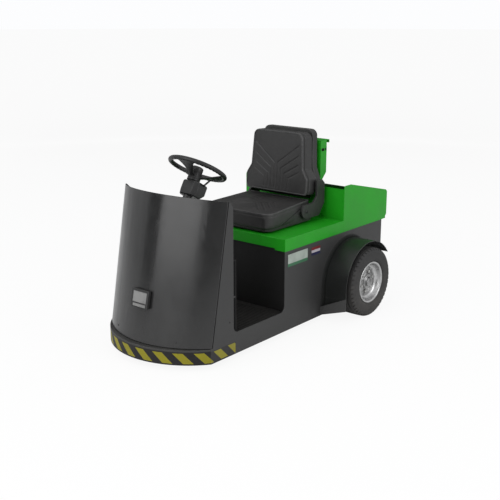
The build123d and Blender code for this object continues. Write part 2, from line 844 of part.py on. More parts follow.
with BuildPart() as steering_wheel:
    with BuildSketch(Plane(origin=column_plane.origin, x_dir=(1, 0, 0),
                           z_dir=column_plane.y_dir)):
        with Locations((wheel_ring_radius, 0)):
            Circle(wheel_tube_radius)
    revolve(axis=Axis(column_plane.origin, column_plane.z_dir), revolution_arc=360)
    with BuildSketch(column_plane.offset(-wheel_hub_depth)):
        Circle(wheel_hub_radius)
    extrude(amount=wheel_hub_depth + wheel_hub_rise)
    with BuildSketch(column_plane.offset(column_top - shaft_length + column_gap)):
        Circle(shaft_radius)
    extrude(amount=shaft_length)
    for angle in spoke_angles:
        turn = radians(angle)
        radial = column_plane.x_dir * cos(turn) + column_plane.y_dir * sin(turn)
        upright = Plane(origin=column_plane.origin, x_dir=radial, z_dir=radial.cross(column_plane.z_dir))
        with BuildSketch(upright):
            with BuildLine():
                Polyline((0, -spoke_drop), (wheel_hub_radius, -spoke_drop), (wheel_ring_radius, -spoke_t),
                         (wheel_ring_radius, 0), (wheel_hub_radius, spoke_t - spoke_drop),
                         (0, spoke_t - spoke_drop), close=True)
            make_face()
        extrude(amount=spoke_width / 2, both=True)
save(steering_wheel, "steering_wheel")

with BuildPart() as indicator_lever:
    with BuildSketch(Plane(origin=(cover_width / 2, wheel_y - lever_before, lever_z),
                           z_dir=(1, 0, lever_rise))):
        Circle(lever_radius)
    extrude(amount=lever_length)
    with BuildSketch(column_plane.offset(cover_top - cover_height)):
        with Locations((0, cover_shift)):
            RectangleRounded(cover_width, cover_depth, cover_round)
    extrude(amount=cover_height, mode=Mode.SUBTRACT)
save(indicator_lever, "indicator_lever")

# ---------------------------------------------------------------- seat
with BuildPart() as seat_rails:
    for x in (-rail_x, rail_x):
        with Locations((x, (seat_front + seat_rear) / 2 + seat_rail_shift, (deck_top + seat_low) / 2)):
            Box(seat_rail_width, seat_rail_length, seat_low - deck_top)
save(seat_rails, "seat_rails")

cheek_front = seat_rear - cheek_length


def cheek_outline(lift):
    """Side view of the pan's cheek, which rises to the pivot; lift raises its upper edge."""
    return [
        (cheek_front, seat_low),
        (cheek_front + cheek_front_run, seat_low + cheek_front_rise + lift),
        (cheek_front + cheek_middle_run, seat_low + cheek_middle_rise + lift),
        (cheek_front + cheek_rear_run, seat_low + cheek_rear_rise + lift),
        (seat_rear - cheek_tail, seat_low + cheek_rear_rise + lift),
        (seat_rear, seat_low + cheek_middle_rise + lift),
        (seat_rear, seat_low),
    ]


with BuildPart() as seat_pan:
    with BuildSketch(Plane.XY.offset(seat_low)):
        with Locations((0, (seat_front + pan_front_inset + seat_rear) / 2)):
            Rectangle(2 * pan_half, seat_rear - seat_front - pan_front_inset)
        fillet(vertices().group_by(Axis.Y)[0], seat_corner)
    extrude(amount=pan_t)
    for x in (-pan_half, pan_half - cheek_t):
        with BuildSketch(Plane.YZ.offset(x)):
            with BuildLine():
                Polyline(*cheek_outline(0), close=True)
            make_face()
        extrude(amount=cheek_t)
    with BuildSketch(Plane.YZ):
        with Locations((pivot_y, pivot_z)):
            Circle(pivot_radius)
    extrude(amount=pan_half + arm_gap + arm_t + pivot_over, both=True)
    with Locations((0, pivot_y, pivot_z)):
        Box(2 * (pan_half - cheek_t), 4 * pivot_radius, 4 * pivot_radius, mode=Mode.SUBTRACT)
save(seat_pan, "seat_pan")

cushion_low = seat_low + pan_t + soft_gap
with BuildPart() as seat_cushion:
    with BuildSketch(Plane.XY.offset(cushion_low)):
        with BuildLine():
            Polyline(
                (-seat_half_front, seat_front),
                (seat_half_front, seat_front),
                (seat_half_front, seat_front + seat_taper_length),
                (seat_half_rear, seat_rear),
                (-seat_half_rear, seat_rear),
                (-seat_half_front, seat_front + seat_taper_length),
                close=True,
            )
        make_face()
        fillet(vertices().group_by(Axis.Y)[0], seat_corner)
    extrude(amount=cushion_rear_high - cushion_low)
    with BuildSketch(Plane.YZ):
        with BuildLine():
            Polyline(
                (seat_front, cushion_low),
                (seat_front, cushion_front_high),
                (seat_rear, cushion_rear_high),
                (seat_rear, cushion_low),
                close=True,
            )
        make_face()
    extrude(amount=seat_half_front, both=True, mode=Mode.INTERSECT)
    fillet(faces().sort_by(Axis.Z)[-1].edges(), cushion_edge)
    for x in (-seat_half_front - cheek_t, pan_half - cheek_t - soft_gap):
        with BuildSketch(Plane.YZ.offset(x)):
            with BuildLine():
                Polyline(*cheek_outline(soft_gap), close=True)
            make_face()
        extrude(amount=seat_half_front + 2 * cheek_t + soft_gap - pan_half, mode=Mode.SUBTRACT)
save(seat_cushion, "seat_cushion")

back_plane = Plane(
    origin=(0, back_front_y, back_low),
    x_dir=(1, 0, 0),
    z_dir=(0, -cos(radians(back_lean)), sin(radians(back_lean))),
)


def back_face(grow, low_rise, rise):
    """Closed outline of the backrest in its own leaning plane, from its lower edge."""
    right = [
        (back_foot_half + grow, low_rise),
        (back_bolster_half + grow, back_foot_rise + low_rise),
        (back_bolster_half + grow, back_bolster_top - back_low),
        (back_waist_half + grow, back_waist_z - back_low),
        (back_shoulder_half + grow, back_high - back_low + rise),
    ]
    return right + [(-x, height) for x, height in reversed(right)]


with BuildPart() as backrest_cushion:
    with BuildSketch(back_plane):
        with BuildLine():
            Polyline(*back_face(0, 0, 0), close=True)
        make_face()
        fillet(vertices().group_by(Axis.Y)[-1], back_corner)
        fillet(vertices().group_by(Axis.Y)[0], back_side_round)
    extrude(amount=-back_t)
    fillet(faces().sort_by(Axis.Y)[0].edges(), back_edge)
save(backrest_cushion, "backrest_cushion")

with BuildPart() as backrest_shell:
    with BuildSketch(back_plane.offset(-back_t - soft_gap)):
        with BuildLine():
            Polyline(*back_face(shell_over, shell_low_rise, shell_rise), close=True)
        make_face()
        fillet(vertices().group_by(Axis.Y)[-1], back_corner)
        fillet(vertices().group_by(Axis.Y)[0], back_side_round)
    extrude(amount=-back_shell_t)
    fillet(faces().sort_by(Axis.Y)[-1].edges(), shell_edge)
save(backrest_shell, "backrest_shell")

arm_x = pan_half + arm_gap
with BuildPart() as backrest_arms:
    for x in (-arm_x - arm_t, arm_x):
        with BuildSketch(Plane.YZ.offset(x)):
            with BuildLine():
                Polyline(
                    (pivot_y, arm_foot_low),
                    (arm_rear_y - arm_heel_run, arm_foot_low),
                    (arm_rear_y, arm_foot_low + arm_heel_rise),
                    (arm_rear_y, arm_top - arm_corner),
                    (arm_rear_y - arm_corner, arm_top),
                    (arm_rear_y - arm_width, arm_top),
                    (arm_rear_y - arm_width, arm_foot_high + arm_inner_corner),
                    (arm_rear_y - arm_width - arm_inner_corner, arm_foot_high),
                    (pivot_y, arm_foot_high - 2 * pivot_over),
                    close=True,
                )
            make_face()
            with Locations((pivot_y, pivot_z)):
                Circle(arm_foot_radius)
                Circle(pivot_radius + running_gap, mode=Mode.SUBTRACT)
        extrude(amount=arm_t)
    pad_inner = back_bolster_half + shell_over + soft_gap
    for side in (-1, 1):
        with Locations((side * (pad_inner + arm_x) / 2, arm_rear_y - arm_pad_inset - arm_pad_depth / 2,
                        arm_top - arm_corner - arm_pad_height / 2)):
            Box(arm_x - pad_inner, arm_pad_depth, arm_pad_height)
save(backrest_arms, "backrest_arms")

# ---------------------------------------------------------------- tow hitch and its drop pin
with BuildPart() as tow_hitch:
    with Locations((0, side_rear + hitch_plate_t / 2, hitch_z)):
        Box(hitch_plate_size, hitch_plate_t, hitch_plate_size)
    pin_y = tail - tow_pin_setback
    for z in (hitch_z - hitch_gap / 2 - jaw_t, hitch_z + hitch_gap / 2):
        with BuildSketch(Plane.XY.offset(z)):
            with Locations((0, (side_rear + hitch_plate_t + pin_y) / 2)):
                Rectangle(jaw_width, pin_y - side_rear - hitch_plate_t)
            with Locations((0, pin_y)):
                Rectangle(jaw_width, 2 * tow_pin_setback)
            with Locations((0, pin_y)):
                Circle(tow_pin_radius + tow_pin_gap, mode=Mode.SUBTRACT)
        extrude(amount=jaw_t)
    with BuildSketch(Plane.XZ.offset(-side_rear)):
        with Locations((0, hitch_z)):
            with GridLocations(hitch_bolt_spacing, hitch_bolt_spacing, 2, 2):
                Circle(hitch_bolt_radius)
    extrude(amount=-hitch_plate_t, mode=Mode.SUBTRACT)
save(tow_hitch, "tow_hitch")

with BuildPart() as tow_pin:
    pin_low = hitch_z - hitch_gap / 2 - jaw_t - tow_pin_below
    pin_high = hitch_z + hitch_gap / 2 + jaw_t + soft_gap
    for radius, low, high in (
        (tow_pin_radius, pin_low, pin_high),
        (tow_pin_radius + tow_pin_collar, pin_high, pin_high + tow_pin_collar_t),
        (tow_pin_radius - tow_pin_neck, pin_high, pin_high + tow_pin_neck_length),
    ):
        with BuildSketch(Plane.XY.offset(low)):
            with Locations((0, pin_y)):
                Circle(radius)
        extrude(amount=high - low)
    with Locations((0, pin_y, pin_high + tow_pin_neck_length + tow_pin_handle_t / 2)):
        Box(tow_pin_handle, tow_pin_handle_t, tow_pin_handle_t)
save(tow_pin, "tow_pin")

# ---------------------------------------------------------------- headlamp
shield_low_middle = shield_low_side - shield_low_sag
shield_high_middle = shield_high_side - shield_high_sag * cos(radians(shield_rise_angle))
shield_middle_height = shield_high + shield_high_sag * sin(radians(shield_rise_angle)) - shield_low
lamp_slope = (shield_high_middle - shield_low_middle) / shield_middle_height
lamp_y = shield_low_middle + (lamp_z - shield_low) * lamp_slope
lamp_lean = degrees(atan(lamp_slope))
lamp_plane = Plane(origin=(0, lamp_y, lamp_z), x_dir=(1, 0, 0),
                   z_dir=(0, -cos(radians(lamp_lean)), sin(radians(lamp_lean))))
lamp_panes = (
    (lens_width, lens_height, lens_rise),
    (lip_width, lip_height, -lip_drop),
)
with BuildPart() as headlamp_housing:
    with BuildSketch(lamp_plane.offset(soft_gap)):
        RectangleRounded(lamp_width, lamp_height, lamp_round)
    extrude(amount=lamp_depth)
    with BuildSketch(lamp_plane.offset(lamp_depth - lens_t)):
        for width, height, rise in lamp_panes:
            with Locations((0, rise)):
                Rectangle(width, height)
    extrude(amount=2 * lens_t, mode=Mode.SUBTRACT)
save(headlamp_housing, "headlamp_housing")

with BuildPart() as headlamp_lens:
    with BuildSketch(lamp_plane.offset(lamp_depth - lens_t + soft_gap)):
        for width, height, rise in lamp_panes:
            with Locations((0, rise)):
                Rectangle(width - 2 * lens_side_gap, height - 2 * lens_side_gap)
    extrude(amount=lens_t)
save(headlamp_lens, "headlamp_lens")

# ---------------------------------------------------------------- blank plates on both sides
with BuildPart() as side_plates:
    for x in (-half_width - plate_t, half_width):
        for from_tail, length, z_low, z_high in (
            (name_plate_from_tail, name_plate_length, name_plate_low, name_plate_high),
            (stripe_plate_from_tail, stripe_plate_length, stripe_plate_low, stripe_plate_high),
        ):
            with Locations((x + plate_t / 2, tail - from_tail, (z_low + z_high) / 2)):
                Box(plate_t, length, z_high - z_low)
save(side_plates, "side_plates")

# ---------------------------------------------------------------- pedals
with BuildPart() as pedals:
    for x in (accelerator_x, brake_x):
        with BuildSketch(Plane.YZ.offset(x - pedal_width / 2)):
            with BuildLine():
                Polyline(
                    (bulkhead_y + pedal_setback, floor_top),
                    (bulkhead_y + pedal_setback - pedal_run, floor_top + pedal_rise),
                    (bulkhead_y + pedal_setback - pedal_run - pedal_t, floor_top + pedal_rise - pedal_t),
                    (bulkhead_y + pedal_setback - 1.5 * pedal_t, floor_top),
                    close=True,
                )
            make_face()
        extrude(amount=pedal_width)
save(pedals, "pedals")
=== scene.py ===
"""Airport baggage tug: painted sheet metal, seat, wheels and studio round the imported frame.

Metres, +Z up, ground at Z = 0, the nose at -Y, the driver's left at +X. Sizes in the
classes are millimetres, and places along the tug are counted from its nose.
"""
import logging
import math
from dataclasses import dataclass, field
from enum import Enum
from typing import Callable, Sequence

import bmesh
import bpy
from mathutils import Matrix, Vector
from mathutils.bvhtree import BVHTree
from mathutils.kdtree import KDTree


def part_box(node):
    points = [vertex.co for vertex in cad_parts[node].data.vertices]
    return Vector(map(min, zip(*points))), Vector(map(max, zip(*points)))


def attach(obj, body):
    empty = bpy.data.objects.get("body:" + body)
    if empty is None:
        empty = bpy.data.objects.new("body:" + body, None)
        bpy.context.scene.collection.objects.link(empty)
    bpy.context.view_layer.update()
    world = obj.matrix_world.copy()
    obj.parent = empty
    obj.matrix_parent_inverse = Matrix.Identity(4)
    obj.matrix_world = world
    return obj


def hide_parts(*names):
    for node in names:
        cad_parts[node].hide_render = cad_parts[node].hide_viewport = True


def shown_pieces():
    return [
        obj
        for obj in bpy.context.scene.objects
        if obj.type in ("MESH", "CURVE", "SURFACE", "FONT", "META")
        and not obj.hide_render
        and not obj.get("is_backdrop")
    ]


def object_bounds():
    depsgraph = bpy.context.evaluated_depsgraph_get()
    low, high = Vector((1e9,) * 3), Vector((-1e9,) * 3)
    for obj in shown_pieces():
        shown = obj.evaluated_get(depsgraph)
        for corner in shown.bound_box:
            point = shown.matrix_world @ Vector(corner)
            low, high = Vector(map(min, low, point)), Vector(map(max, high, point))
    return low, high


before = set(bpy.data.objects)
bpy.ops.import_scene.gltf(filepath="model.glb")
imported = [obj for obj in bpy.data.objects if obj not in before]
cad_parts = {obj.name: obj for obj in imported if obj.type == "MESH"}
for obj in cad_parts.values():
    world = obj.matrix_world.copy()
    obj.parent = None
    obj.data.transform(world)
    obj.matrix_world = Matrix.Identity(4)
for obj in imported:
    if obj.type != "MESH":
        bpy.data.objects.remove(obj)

LOG = logging.getLogger("tug")
MM = 0.001
CAD_LOW, CAD_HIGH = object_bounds()
NOSE_Y = CAD_LOW.y
PANEL_HALF = 380.0  # outer face of the side panels, from the middle
SIDES = ((1, "left"), (-1, "right"))

Colour = tuple[float, float, float]
Loop = list[Vector]


class Slot(Enum):
    """Names of material slots."""

    GREEN = "green_paint"
    DARK = "dark_paint"
    BAND = "hazard_band"
    MUDGUARD = "mudguard_paint"
    STEEL = "frame_steel"
    PLASTIC = "black_plastic"
    FLOOR = "floor_rubber"
    CASTING = "motor_casting"
    BATTERY = "battery_case"
    TYRE = "tyre"
    RIM = "rim_silver"
    VINYL = "seat_vinyl"
    LENS = "lamp_lens"
    PLATE = "plate_white"
    PEDAL = "pedal_rubber"


class Body(Enum):
    """Bodies of the frame that pieces ride on."""

    CHASSIS = "chassis"
    FORK = "fork"
    FRONT_WHEEL = "front_wheel"
    REAR_LEFT = "rear_wheel_left"
    REAR_RIGHT = "rear_wheel_right"
    STEERING = "steering_wheel"
    BACKREST = "backrest"
    TOW_PIN = "tow_pin"


def spot(x: float, from_nose: float, z: float) -> Vector:
    """A point in the frame from millimetres: across, behind the nose, and up."""
    return Vector((x * MM, NOSE_Y + from_nose * MM, z * MM))


def tone(red: float, green: float, blue: float) -> Colour:
    """A display colour, 0 to 255, as the linear colour that shaders take."""

    def linear(value: float) -> float:
        """One channel as linear light."""
        v = value / 255
        return v / 12.92 if v <= 0.04045 else ((v + 0.055) / 1.055) ** 2.4

    return linear(red), linear(green), linear(blue)


# ------------------------------------------------------------------ node sketches
class Sketch:
    """Adds nodes to one node tree, left to right."""

    def __init__(self, tree: bpy.types.NodeTree) -> None:
        """Starts on a tree."""
        self.tree = tree
        self.step = 0

    def add(self, kind: str, **settings: object) -> bpy.types.Node:
        """Adds a node.

        Args:
            kind: Blender's name of the node's type.
            **settings: values of the node's own properties.

        Returns:
            The new node.
        """
        node = self.tree.nodes.new(kind)
        node.location = (self.step * 180, 0)
        self.step += 1
        for name, value in settings.items():
            setattr(node, name, value)
        return node

    def feed(self, socket: bpy.types.NodeSocket, value: object) -> None:
        """Links a socket to another, or sets its plain value."""
        if isinstance(value, bpy.types.NodeSocket):
            self.tree.links.new(value, socket)
        elif isinstance(value, tuple) and len(value) == 3 and socket.type == "RGBA":
            socket.default_value = (*value, 1.0)
        else:
            socket.default_value = value

    def sums(self, operation: str, *values: object, clamp: bool = False) -> bpy.types.NodeSocket:
        """A Math node.

        Args:
            operation: its operation.
            *values: numbers or sockets, in order.
            clamp: keep the result from 0 to 1.

        Returns:
            Its result.
        """
        node = self.add("ShaderNodeMath", operation=operation, use_clamp=clamp)
        for socket, value in zip(node.inputs, values):
            self.feed(socket, value)
        return node.outputs[0]

    def attribute(self, name: str) -> bpy.types.NodeSocket:
        """The value of a named attribute of the mesh."""
        return self.add("ShaderNodeAttribute", attribute_name=name).outputs["Fac"]

    def upward(self, vector: object) -> bpy.types.NodeSocket:
        """A vector's Z."""
        parts = self.add("ShaderNodeSeparateXYZ")
        self.feed(parts.inputs[0], vector)
        return parts.outputs["Z"]

    def ranged(self, value: object, low: float, high: float, to_low: float = 0.0,
               to_high: float = 1.0) -> bpy.types.NodeSocket:
        """A value carried smoothly from one range to another."""
        node = self.add("ShaderNodeMapRange", interpolation_type="SMOOTHSTEP")
        for name, number in (("Value", value), ("From Min", low), ("From Max", high),
                             ("To Min", to_low), ("To Max", to_high)):
            self.feed(node.inputs[name], number)
        return node.outputs["Result"]

    def blended(self, factor: object, first: object, second: object,
                how: str = "MIX") -> bpy.types.NodeSocket:
        """Two colours blended by a factor."""
        node = self.add("ShaderNodeMix", data_type="RGBA", blend_type=how)
        sockets = [s for s in node.inputs if s.enabled]
        for socket, value in zip(sockets, (factor, first, second)):
            self.feed(socket, value)
        return next(s for s in node.outputs if s.enabled)

    def clouds(self, vector: object, scale: object, detail: float = 3.0,
               rough: float = 0.55) -> bpy.types.NodeSocket:
        """Noise from 0 to 1."""
        node = self.add("ShaderNodeTexNoise")
        for name, value in (("Vector", vector), ("Scale", scale), ("Detail", detail),
                            ("Roughness", rough)):
            self.feed(node.inputs[name], value)
        return node.outputs["Fac"]

    def cells(self, vector: object, scale: object, feature: str = "F1") -> bpy.types.NodeSocket:
        """Distances of a Voronoi pattern."""
        node = self.add("ShaderNodeTexVoronoi", feature=feature)
        self.feed(node.inputs["Vector"], vector)
        self.feed(node.inputs["Scale"], scale)
        return node.outputs["Distance"]


class Effect(Enum):
    """Shared shader node groups."""

    PEEL = "paint_peel"
    WEAR = "edge_wear"
    DUST = "road_dust"
    LEATHER = "leather_grain"
    MOULDED = "moulded_grain"
    STRIPES = "hazard_stripes"


@dataclass(frozen=True)
class Band:
    """Slanted stripes round the foot of the nose, in metres along and up."""

    start: float = 0.012
    pitch: float = 0.113
    width: float = 0.056
    low: float = 0.043
    high: float = 0.101
    black_high: float = 0.108


class EffectLibrary:
    """Builds each shared shader group once and places it in materials."""

    def __init__(self) -> None:
        """Builds every group."""
        self.groups: dict[Effect, bpy.types.NodeTree] = {}
        self._peel()
        self._wear()
        self._dust()
        self._leather()
        self._moulded()
        self._stripes()

    def _start(self, effect: Effect, inputs: dict[str, float | None],
               outputs: Sequence[str]) -> tuple[Sketch, dict[str, bpy.types.NodeSocket], object]:
        """Opens a new group.

        Args:
            effect: which group it is.
            inputs: names and plain values of its inputs; None makes a vector.
            outputs: names of its value outputs.

        Returns:
            The sketch, the sockets inside by name, and the output node's inputs.
        """
        tree = bpy.data.node_groups.new(effect.value, "ShaderNodeTree")
        for name, value in inputs.items():
            kind = "NodeSocketVector" if value is None else "NodeSocketFloat"
            socket = tree.interface.new_socket(name, in_out="INPUT", socket_type=kind)
            if value is not None:
                socket.default_value = value
        for name in outputs:
            tree.interface.new_socket(name, in_out="OUTPUT", socket_type="NodeSocketFloat")
        sketch = Sketch(tree)
        inside = sketch.add("NodeGroupInput").outputs
        end = sketch.add("NodeGroupOutput").inputs
        self.groups[effect] = tree
        return sketch, {name: inside[name] for name in inputs}, end

    def _peel(self) -> None:
        """Sprayed paint: long soft ripples, fine specks, and slow changes of tone."""
        s, given, end = self._start(Effect.PEEL, {"Vector": None, "Scale": 220.0},
                                    ("Height", "Tone", "Sheen"))
        fine = s.clouds(given["Vector"], given["Scale"], 2.0)
        broad = s.clouds(given["Vector"], 9.0, 3.0)
        s.feed(end["Height"], fine)
        s.feed(end["Tone"], s.ranged(broad, 0.25, 0.75, 0.94, 1.06))
        s.feed(end["Sheen"], s.sums("ADD", s.ranged(broad, 0.3, 0.7, -0.03, 0.03),
                                    s.ranged(fine, 0.3, 0.7, -0.02, 0.02)))

    def _wear(self) -> None:
        """Rubbed edges: the edge attribute broken up by noise; on the mudguards it also carries a
        painted highlight.
        """
        s, given, end = self._start(Effect.WEAR, {"Vector": None, "Rim": 0.0, "Amount": 0.3},
                                    ("Mask",))
        patches = s.ranged(s.clouds(given["Vector"], 26.0, 4.0, 0.7), 0.42, 0.66)
        nicks = s.ranged(s.clouds(given["Vector"], 240.0, 2.0), 0.5, 0.62)
        broken = s.sums("MULTIPLY", s.sums("ADD", patches, s.sums("MULTIPLY", nicks, 0.5)),
                        given["Rim"])
        s.feed(end["Mask"], s.sums("MULTIPLY", broken, given["Amount"], clamp=True))

    def _dust(self) -> None:
        """Dry road dust: a veil that fades upwards and lies on level faces."""
        s, given, end = self._start(
            Effect.DUST, {"Vector": None, "Normal": None, "Reach": 0.5, "Amount": 0.1}, ("Mask",))
        up, level = s.upward(given["Vector"]), s.upward(given["Normal"])
        height = s.sums("DIVIDE", up, given["Reach"])
        low = s.ranged(height, 0.0, 1.0, 1.0, 0.0)
        flat = s.ranged(level, 0.6, 1.0, 0.0, 0.45)
        broken = s.ranged(s.clouds(given["Vector"], 14.0, 5.0, 0.65), 0.3, 0.75, 0.35, 1.0)
        s.feed(end["Mask"], s.sums("MULTIPLY", s.sums("MULTIPLY", s.sums("ADD", low, flat), broken),
                                   given["Amount"], clamp=True))

    def _leather(self) -> None:
        """Coated fabric: rounded pebbles with a few longer creases."""
        s, given, end = self._start(Effect.LEATHER, {"Vector": None, "Scale": 420.0},
                                    ("Height", "Tone"))
        pebbles = s.cells(given["Vector"], given["Scale"], "SMOOTH_F1")
        folds = s.clouds(given["Vector"], 38.0, 4.0, 0.6)
        s.feed(end["Height"], s.sums("ADD", s.sums("MULTIPLY", pebbles, -1.0),
                                     s.sums("MULTIPLY", folds, 0.5)))
        s.feed(end["Tone"], s.ranged(folds, 0.3, 0.7, 0.9, 1.1))

    def _moulded(self) -> None:
        """Moulded plastic or rubber: an even spark-eroded grain."""
        s, given, end = self._start(Effect.MOULDED, {"Vector": None, "Scale": 700.0},
                                    ("Height", "Tone", "Sheen"))
        grain = s.clouds(given["Vector"], given["Scale"], 2.0, 0.6)
        broad = s.clouds(given["Vector"], 17.0, 3.0)
        s.feed(end["Height"], grain)
        s.feed(end["Tone"], s.ranged(broad, 0.3, 0.7, 0.88, 1.12))
        s.feed(end["Sheen"], s.ranged(broad, 0.3, 0.7, -0.05, 0.05))

    def _stripes(self) -> None:
        """Black and yellow band by length round the nose and height."""
        band = Band()
        s, given, end = self._start(
            Effect.STRIPES, {"Along": 0.0, "Height": 0.0, "Black Top": band.black_high,
                             "End": 1.0}, ("Yellow", "Black"))
        slant = s.sums("SUBTRACT", band.high, given["Height"])
        shifted = s.sums("SUBTRACT", s.sums("SUBTRACT", given["Along"], band.start), slant)
        turn = s.sums("FLOORED_MODULO", shifted, band.pitch)
        inside = s.sums("LESS_THAN", turn, band.width)
        rows = s.sums("MULTIPLY", s.sums("GREATER_THAN", given["Height"], band.low),
                      s.sums("LESS_THAN", given["Height"], band.high))
        reach = s.sums("LESS_THAN", s.sums("ABSOLUTE", given["Along"]), given["End"])
        s.feed(end["Yellow"], s.sums("MULTIPLY", s.sums("MULTIPLY", inside, rows), reach))
        s.feed(end["Black"], s.sums("MULTIPLY", reach,
                                    s.sums("LESS_THAN", given["Height"], given["Black Top"])))

    def place(self, sketch: Sketch, effect: Effect, **values: object) -> dict[str, object]:
        """Puts a group into a material.

        Args:
            sketch: the material's sketch.
            effect: which group.
            **values: its inputs, with underscores for spaces.

        Returns:
            Its outputs by name.
        """
        node = sketch.add("ShaderNodeGroup", node_tree=self.groups[effect])
        for name, value in values.items():
            sketch.feed(node.inputs[name.replace("_", " ")], value)
        return {socket.name: socket for socket in node.outputs}


EFFECTS = EffectLibrary()


# ------------------------------------------------------------------------ finishes
@dataclass(frozen=True)
class Finish:
    """A surface finish that makes one procedural material."""

    name: str
    colour: Colour
    roughness: float = 0.4

    def material(self) -> bpy.types.Material:
        """The finish's material, built the first time that it is asked for."""
        made = bpy.data.materials.get(self.name)
        if made:
            return made
        made = bpy.data.materials.new(self.name)
        made.use_nodes = True
        made.node_tree.nodes.clear()
        sketch = Sketch(made.node_tree)
        where = sketch.add("ShaderNodeTexCoord").outputs["Object"]
        shader = sketch.add("ShaderNodeBsdfPrincipled")
        end = sketch.add("ShaderNodeOutputMaterial")
        sketch.feed(end.inputs["Surface"], shader.outputs["BSDF"])
        self.draw(sketch, shader.inputs, where)
        return made

    def draw(self, s: Sketch, shader: object, where: bpy.types.NodeSocket) -> None:
        """Adds the finish's nodes.

        Args:
            s: the material's sketch.
            shader: inputs of its Principled shader.
            where: object coordinates.
        """
        raise NotImplementedError

    def relief(self, s: Sketch, shader: object, height: object, depth: float,
               strength: float = 1.0) -> None:
        """Feeds a height through a Bump node to the shader's normal."""
        bump = s.add("ShaderNodeBump")
        s.feed(bump.inputs["Height"], height)
        s.feed(bump.inputs["Distance"], depth * MM)
        s.feed(bump.inputs["Strength"], strength)
        s.feed(shader["Normal"], bump.outputs["Normal"])

    def toned(self, s: Sketch, colour: object, factor: object) -> bpy.types.NodeSocket:
        """A colour made lighter or darker by a factor near 1."""
        grey = s.add("ShaderNodeCombineXYZ")
        for socket in grey.inputs:
            s.feed(socket, factor)
        return s.blended(1.0, colour, grey.outputs[0], "MULTIPLY")

    def dusted(self, s: Sketch, where: object, colour: object, reach: float,
               amount: float) -> tuple[bpy.types.NodeSocket, bpy.types.NodeSocket]:
        """Lays road dust over a colour; also gives the dust's mask."""
        normal = s.add("ShaderNodeNewGeometry").outputs["Normal"]
        mask = EFFECTS.place(s, Effect.DUST, Vector=where, Normal=normal, Reach=reach,
                             Amount=amount)["Mask"]
        return s.blended(mask, colour, DUST), mask


DUST = tone(150, 143, 132)
PRIMER = tone(120, 120, 122)


@dataclass(frozen=True)
class Paint(Finish):
    """Sprayed enamel on steel, rubbed along its edges; on the mudguards the lightened edges are
    also a painted highlight.
    """

    coat: float = 0.35
    coat_roughness: float = 0.12
    wear_and_highlight: float = 0.3
    bare: Colour = PRIMER
    peel: float = 0.02
    dust: float = 0.05
    dust_reach: float = 0.45
    specular: float = 0.5

    def colour_under_wear(self, s: Sketch, where: object) -> object:
        """The paint's own colour before wear and dust."""
        return self.colour

    def draw(self, s: Sketch, shader: object, where: bpy.types.NodeSocket) -> None:
        """Paint tone, worn edges (on the mudguards also a painted highlight), dust near the road
        and a soft ripple.
        """
        peel = EFFECTS.place(s, Effect.PEEL, Vector=where)
        colour = self.toned(s, self.colour_under_wear(s, where), peel["Tone"])
        rim = s.attribute("rim")
        worn = EFFECTS.place(s, Effect.WEAR, Vector=where, Rim=rim, Amount=self.wear_and_highlight)["Mask"]
        colour = s.blended(worn, colour, self.bare)
        colour, mask = self.dusted(s, where, colour, self.dust_reach, self.dust)
        s.feed(shader["Base Color"], colour)
        rough = s.sums("ADD", peel["Sheen"], self.roughness)
        s.feed(shader["Roughness"], s.sums("ADD", rough, s.sums("MULTIPLY", mask, 0.5),
                                           clamp=True))
        s.feed(shader["Coat Weight"], s.sums("MULTIPLY", s.sums("SUBTRACT", 1.0, worn), self.coat))
        s.feed(shader["Coat Roughness"], self.coat_roughness)
        s.feed(shader["Specular IOR Level"], self.specular)
        self.relief(s, shader, peel["Height"], self.peel)


@dataclass(frozen=True)
class BandPaint(Paint):
    """Paint that carries the black and yellow band along its foot."""

    black: Colour = tone(16, 15, 18)
    yellow: Colour = tone(128, 121, 12)
    end: float = 1.0
    black_top: float = 0.108

    def colour_under_wear(self, s: Sketch, where: object) -> object:
        """Stripes by the attribute that counts the length round the nose."""
        masks = EFFECTS.place(s, Effect.STRIPES, Along=s.attribute("along"),
                              Height=s.upward(where), Black_Top=self.black_top, End=self.end)
        dark = s.blended(masks["Black"], self.colour, self.black)
        return s.blended(masks["Yellow"], dark, self.yellow)


@dataclass(frozen=True)
class FlareShadePaint(Paint):
    """Paint that passes into a darker, duller one by the attribute that crosses a flare, partly as
    painted shade near the mudguard.
    """

    outer: Colour = (0.01, 0.01, 0.01)

    def draw(self, s: Sketch, shader: object, where: bpy.types.NodeSocket) -> None:
        """Paint whose shine fades across the flare, as part of its painted shade."""
        super().draw(s, shader, where)
        s.feed(shader["Specular IOR Level"],
               s.ranged(s.attribute("across"), 0.0, 0.75, self.specular, 0.06))

    def colour_under_wear(self, s: Sketch, where: object) -> object:
        """Both paints mixed across the flare: partly the mudguard's own black, partly painted
        shade.
        """
        return s.blended(s.attribute("across"), self.colour, self.outer)


@dataclass(frozen=True)
class Vinyl(Finish):
    """Grained coated fabric over foam."""

    grain: float = 0.12
    scale: float = 420.0
    dust: float = 0.03

    def draw(self, s: Sketch, shader: object, where: bpy.types.NodeSocket) -> None:
        """Pebbled grain, with a polish that changes a little from place to place."""
        grain = EFFECTS.place(s, Effect.LEATHER, Vector=where, Scale=self.scale)
        colour = self.toned(s, self.colour, grain["Tone"])
        colour, mask = self.dusted(s, where, colour, 2.0, self.dust)
        s.feed(shader["Base Color"], colour)
        shine = s.ranged(s.clouds(where, 11.0, 3.0), 0.3, 0.7, -0.06, 0.06)
        s.feed(shader["Roughness"], s.sums("ADD", s.sums("ADD", shine, mask), self.roughness))
        s.feed(shader["Specular IOR Level"], 0.45)
        self.relief(s, shader, grain["Height"], self.grain)


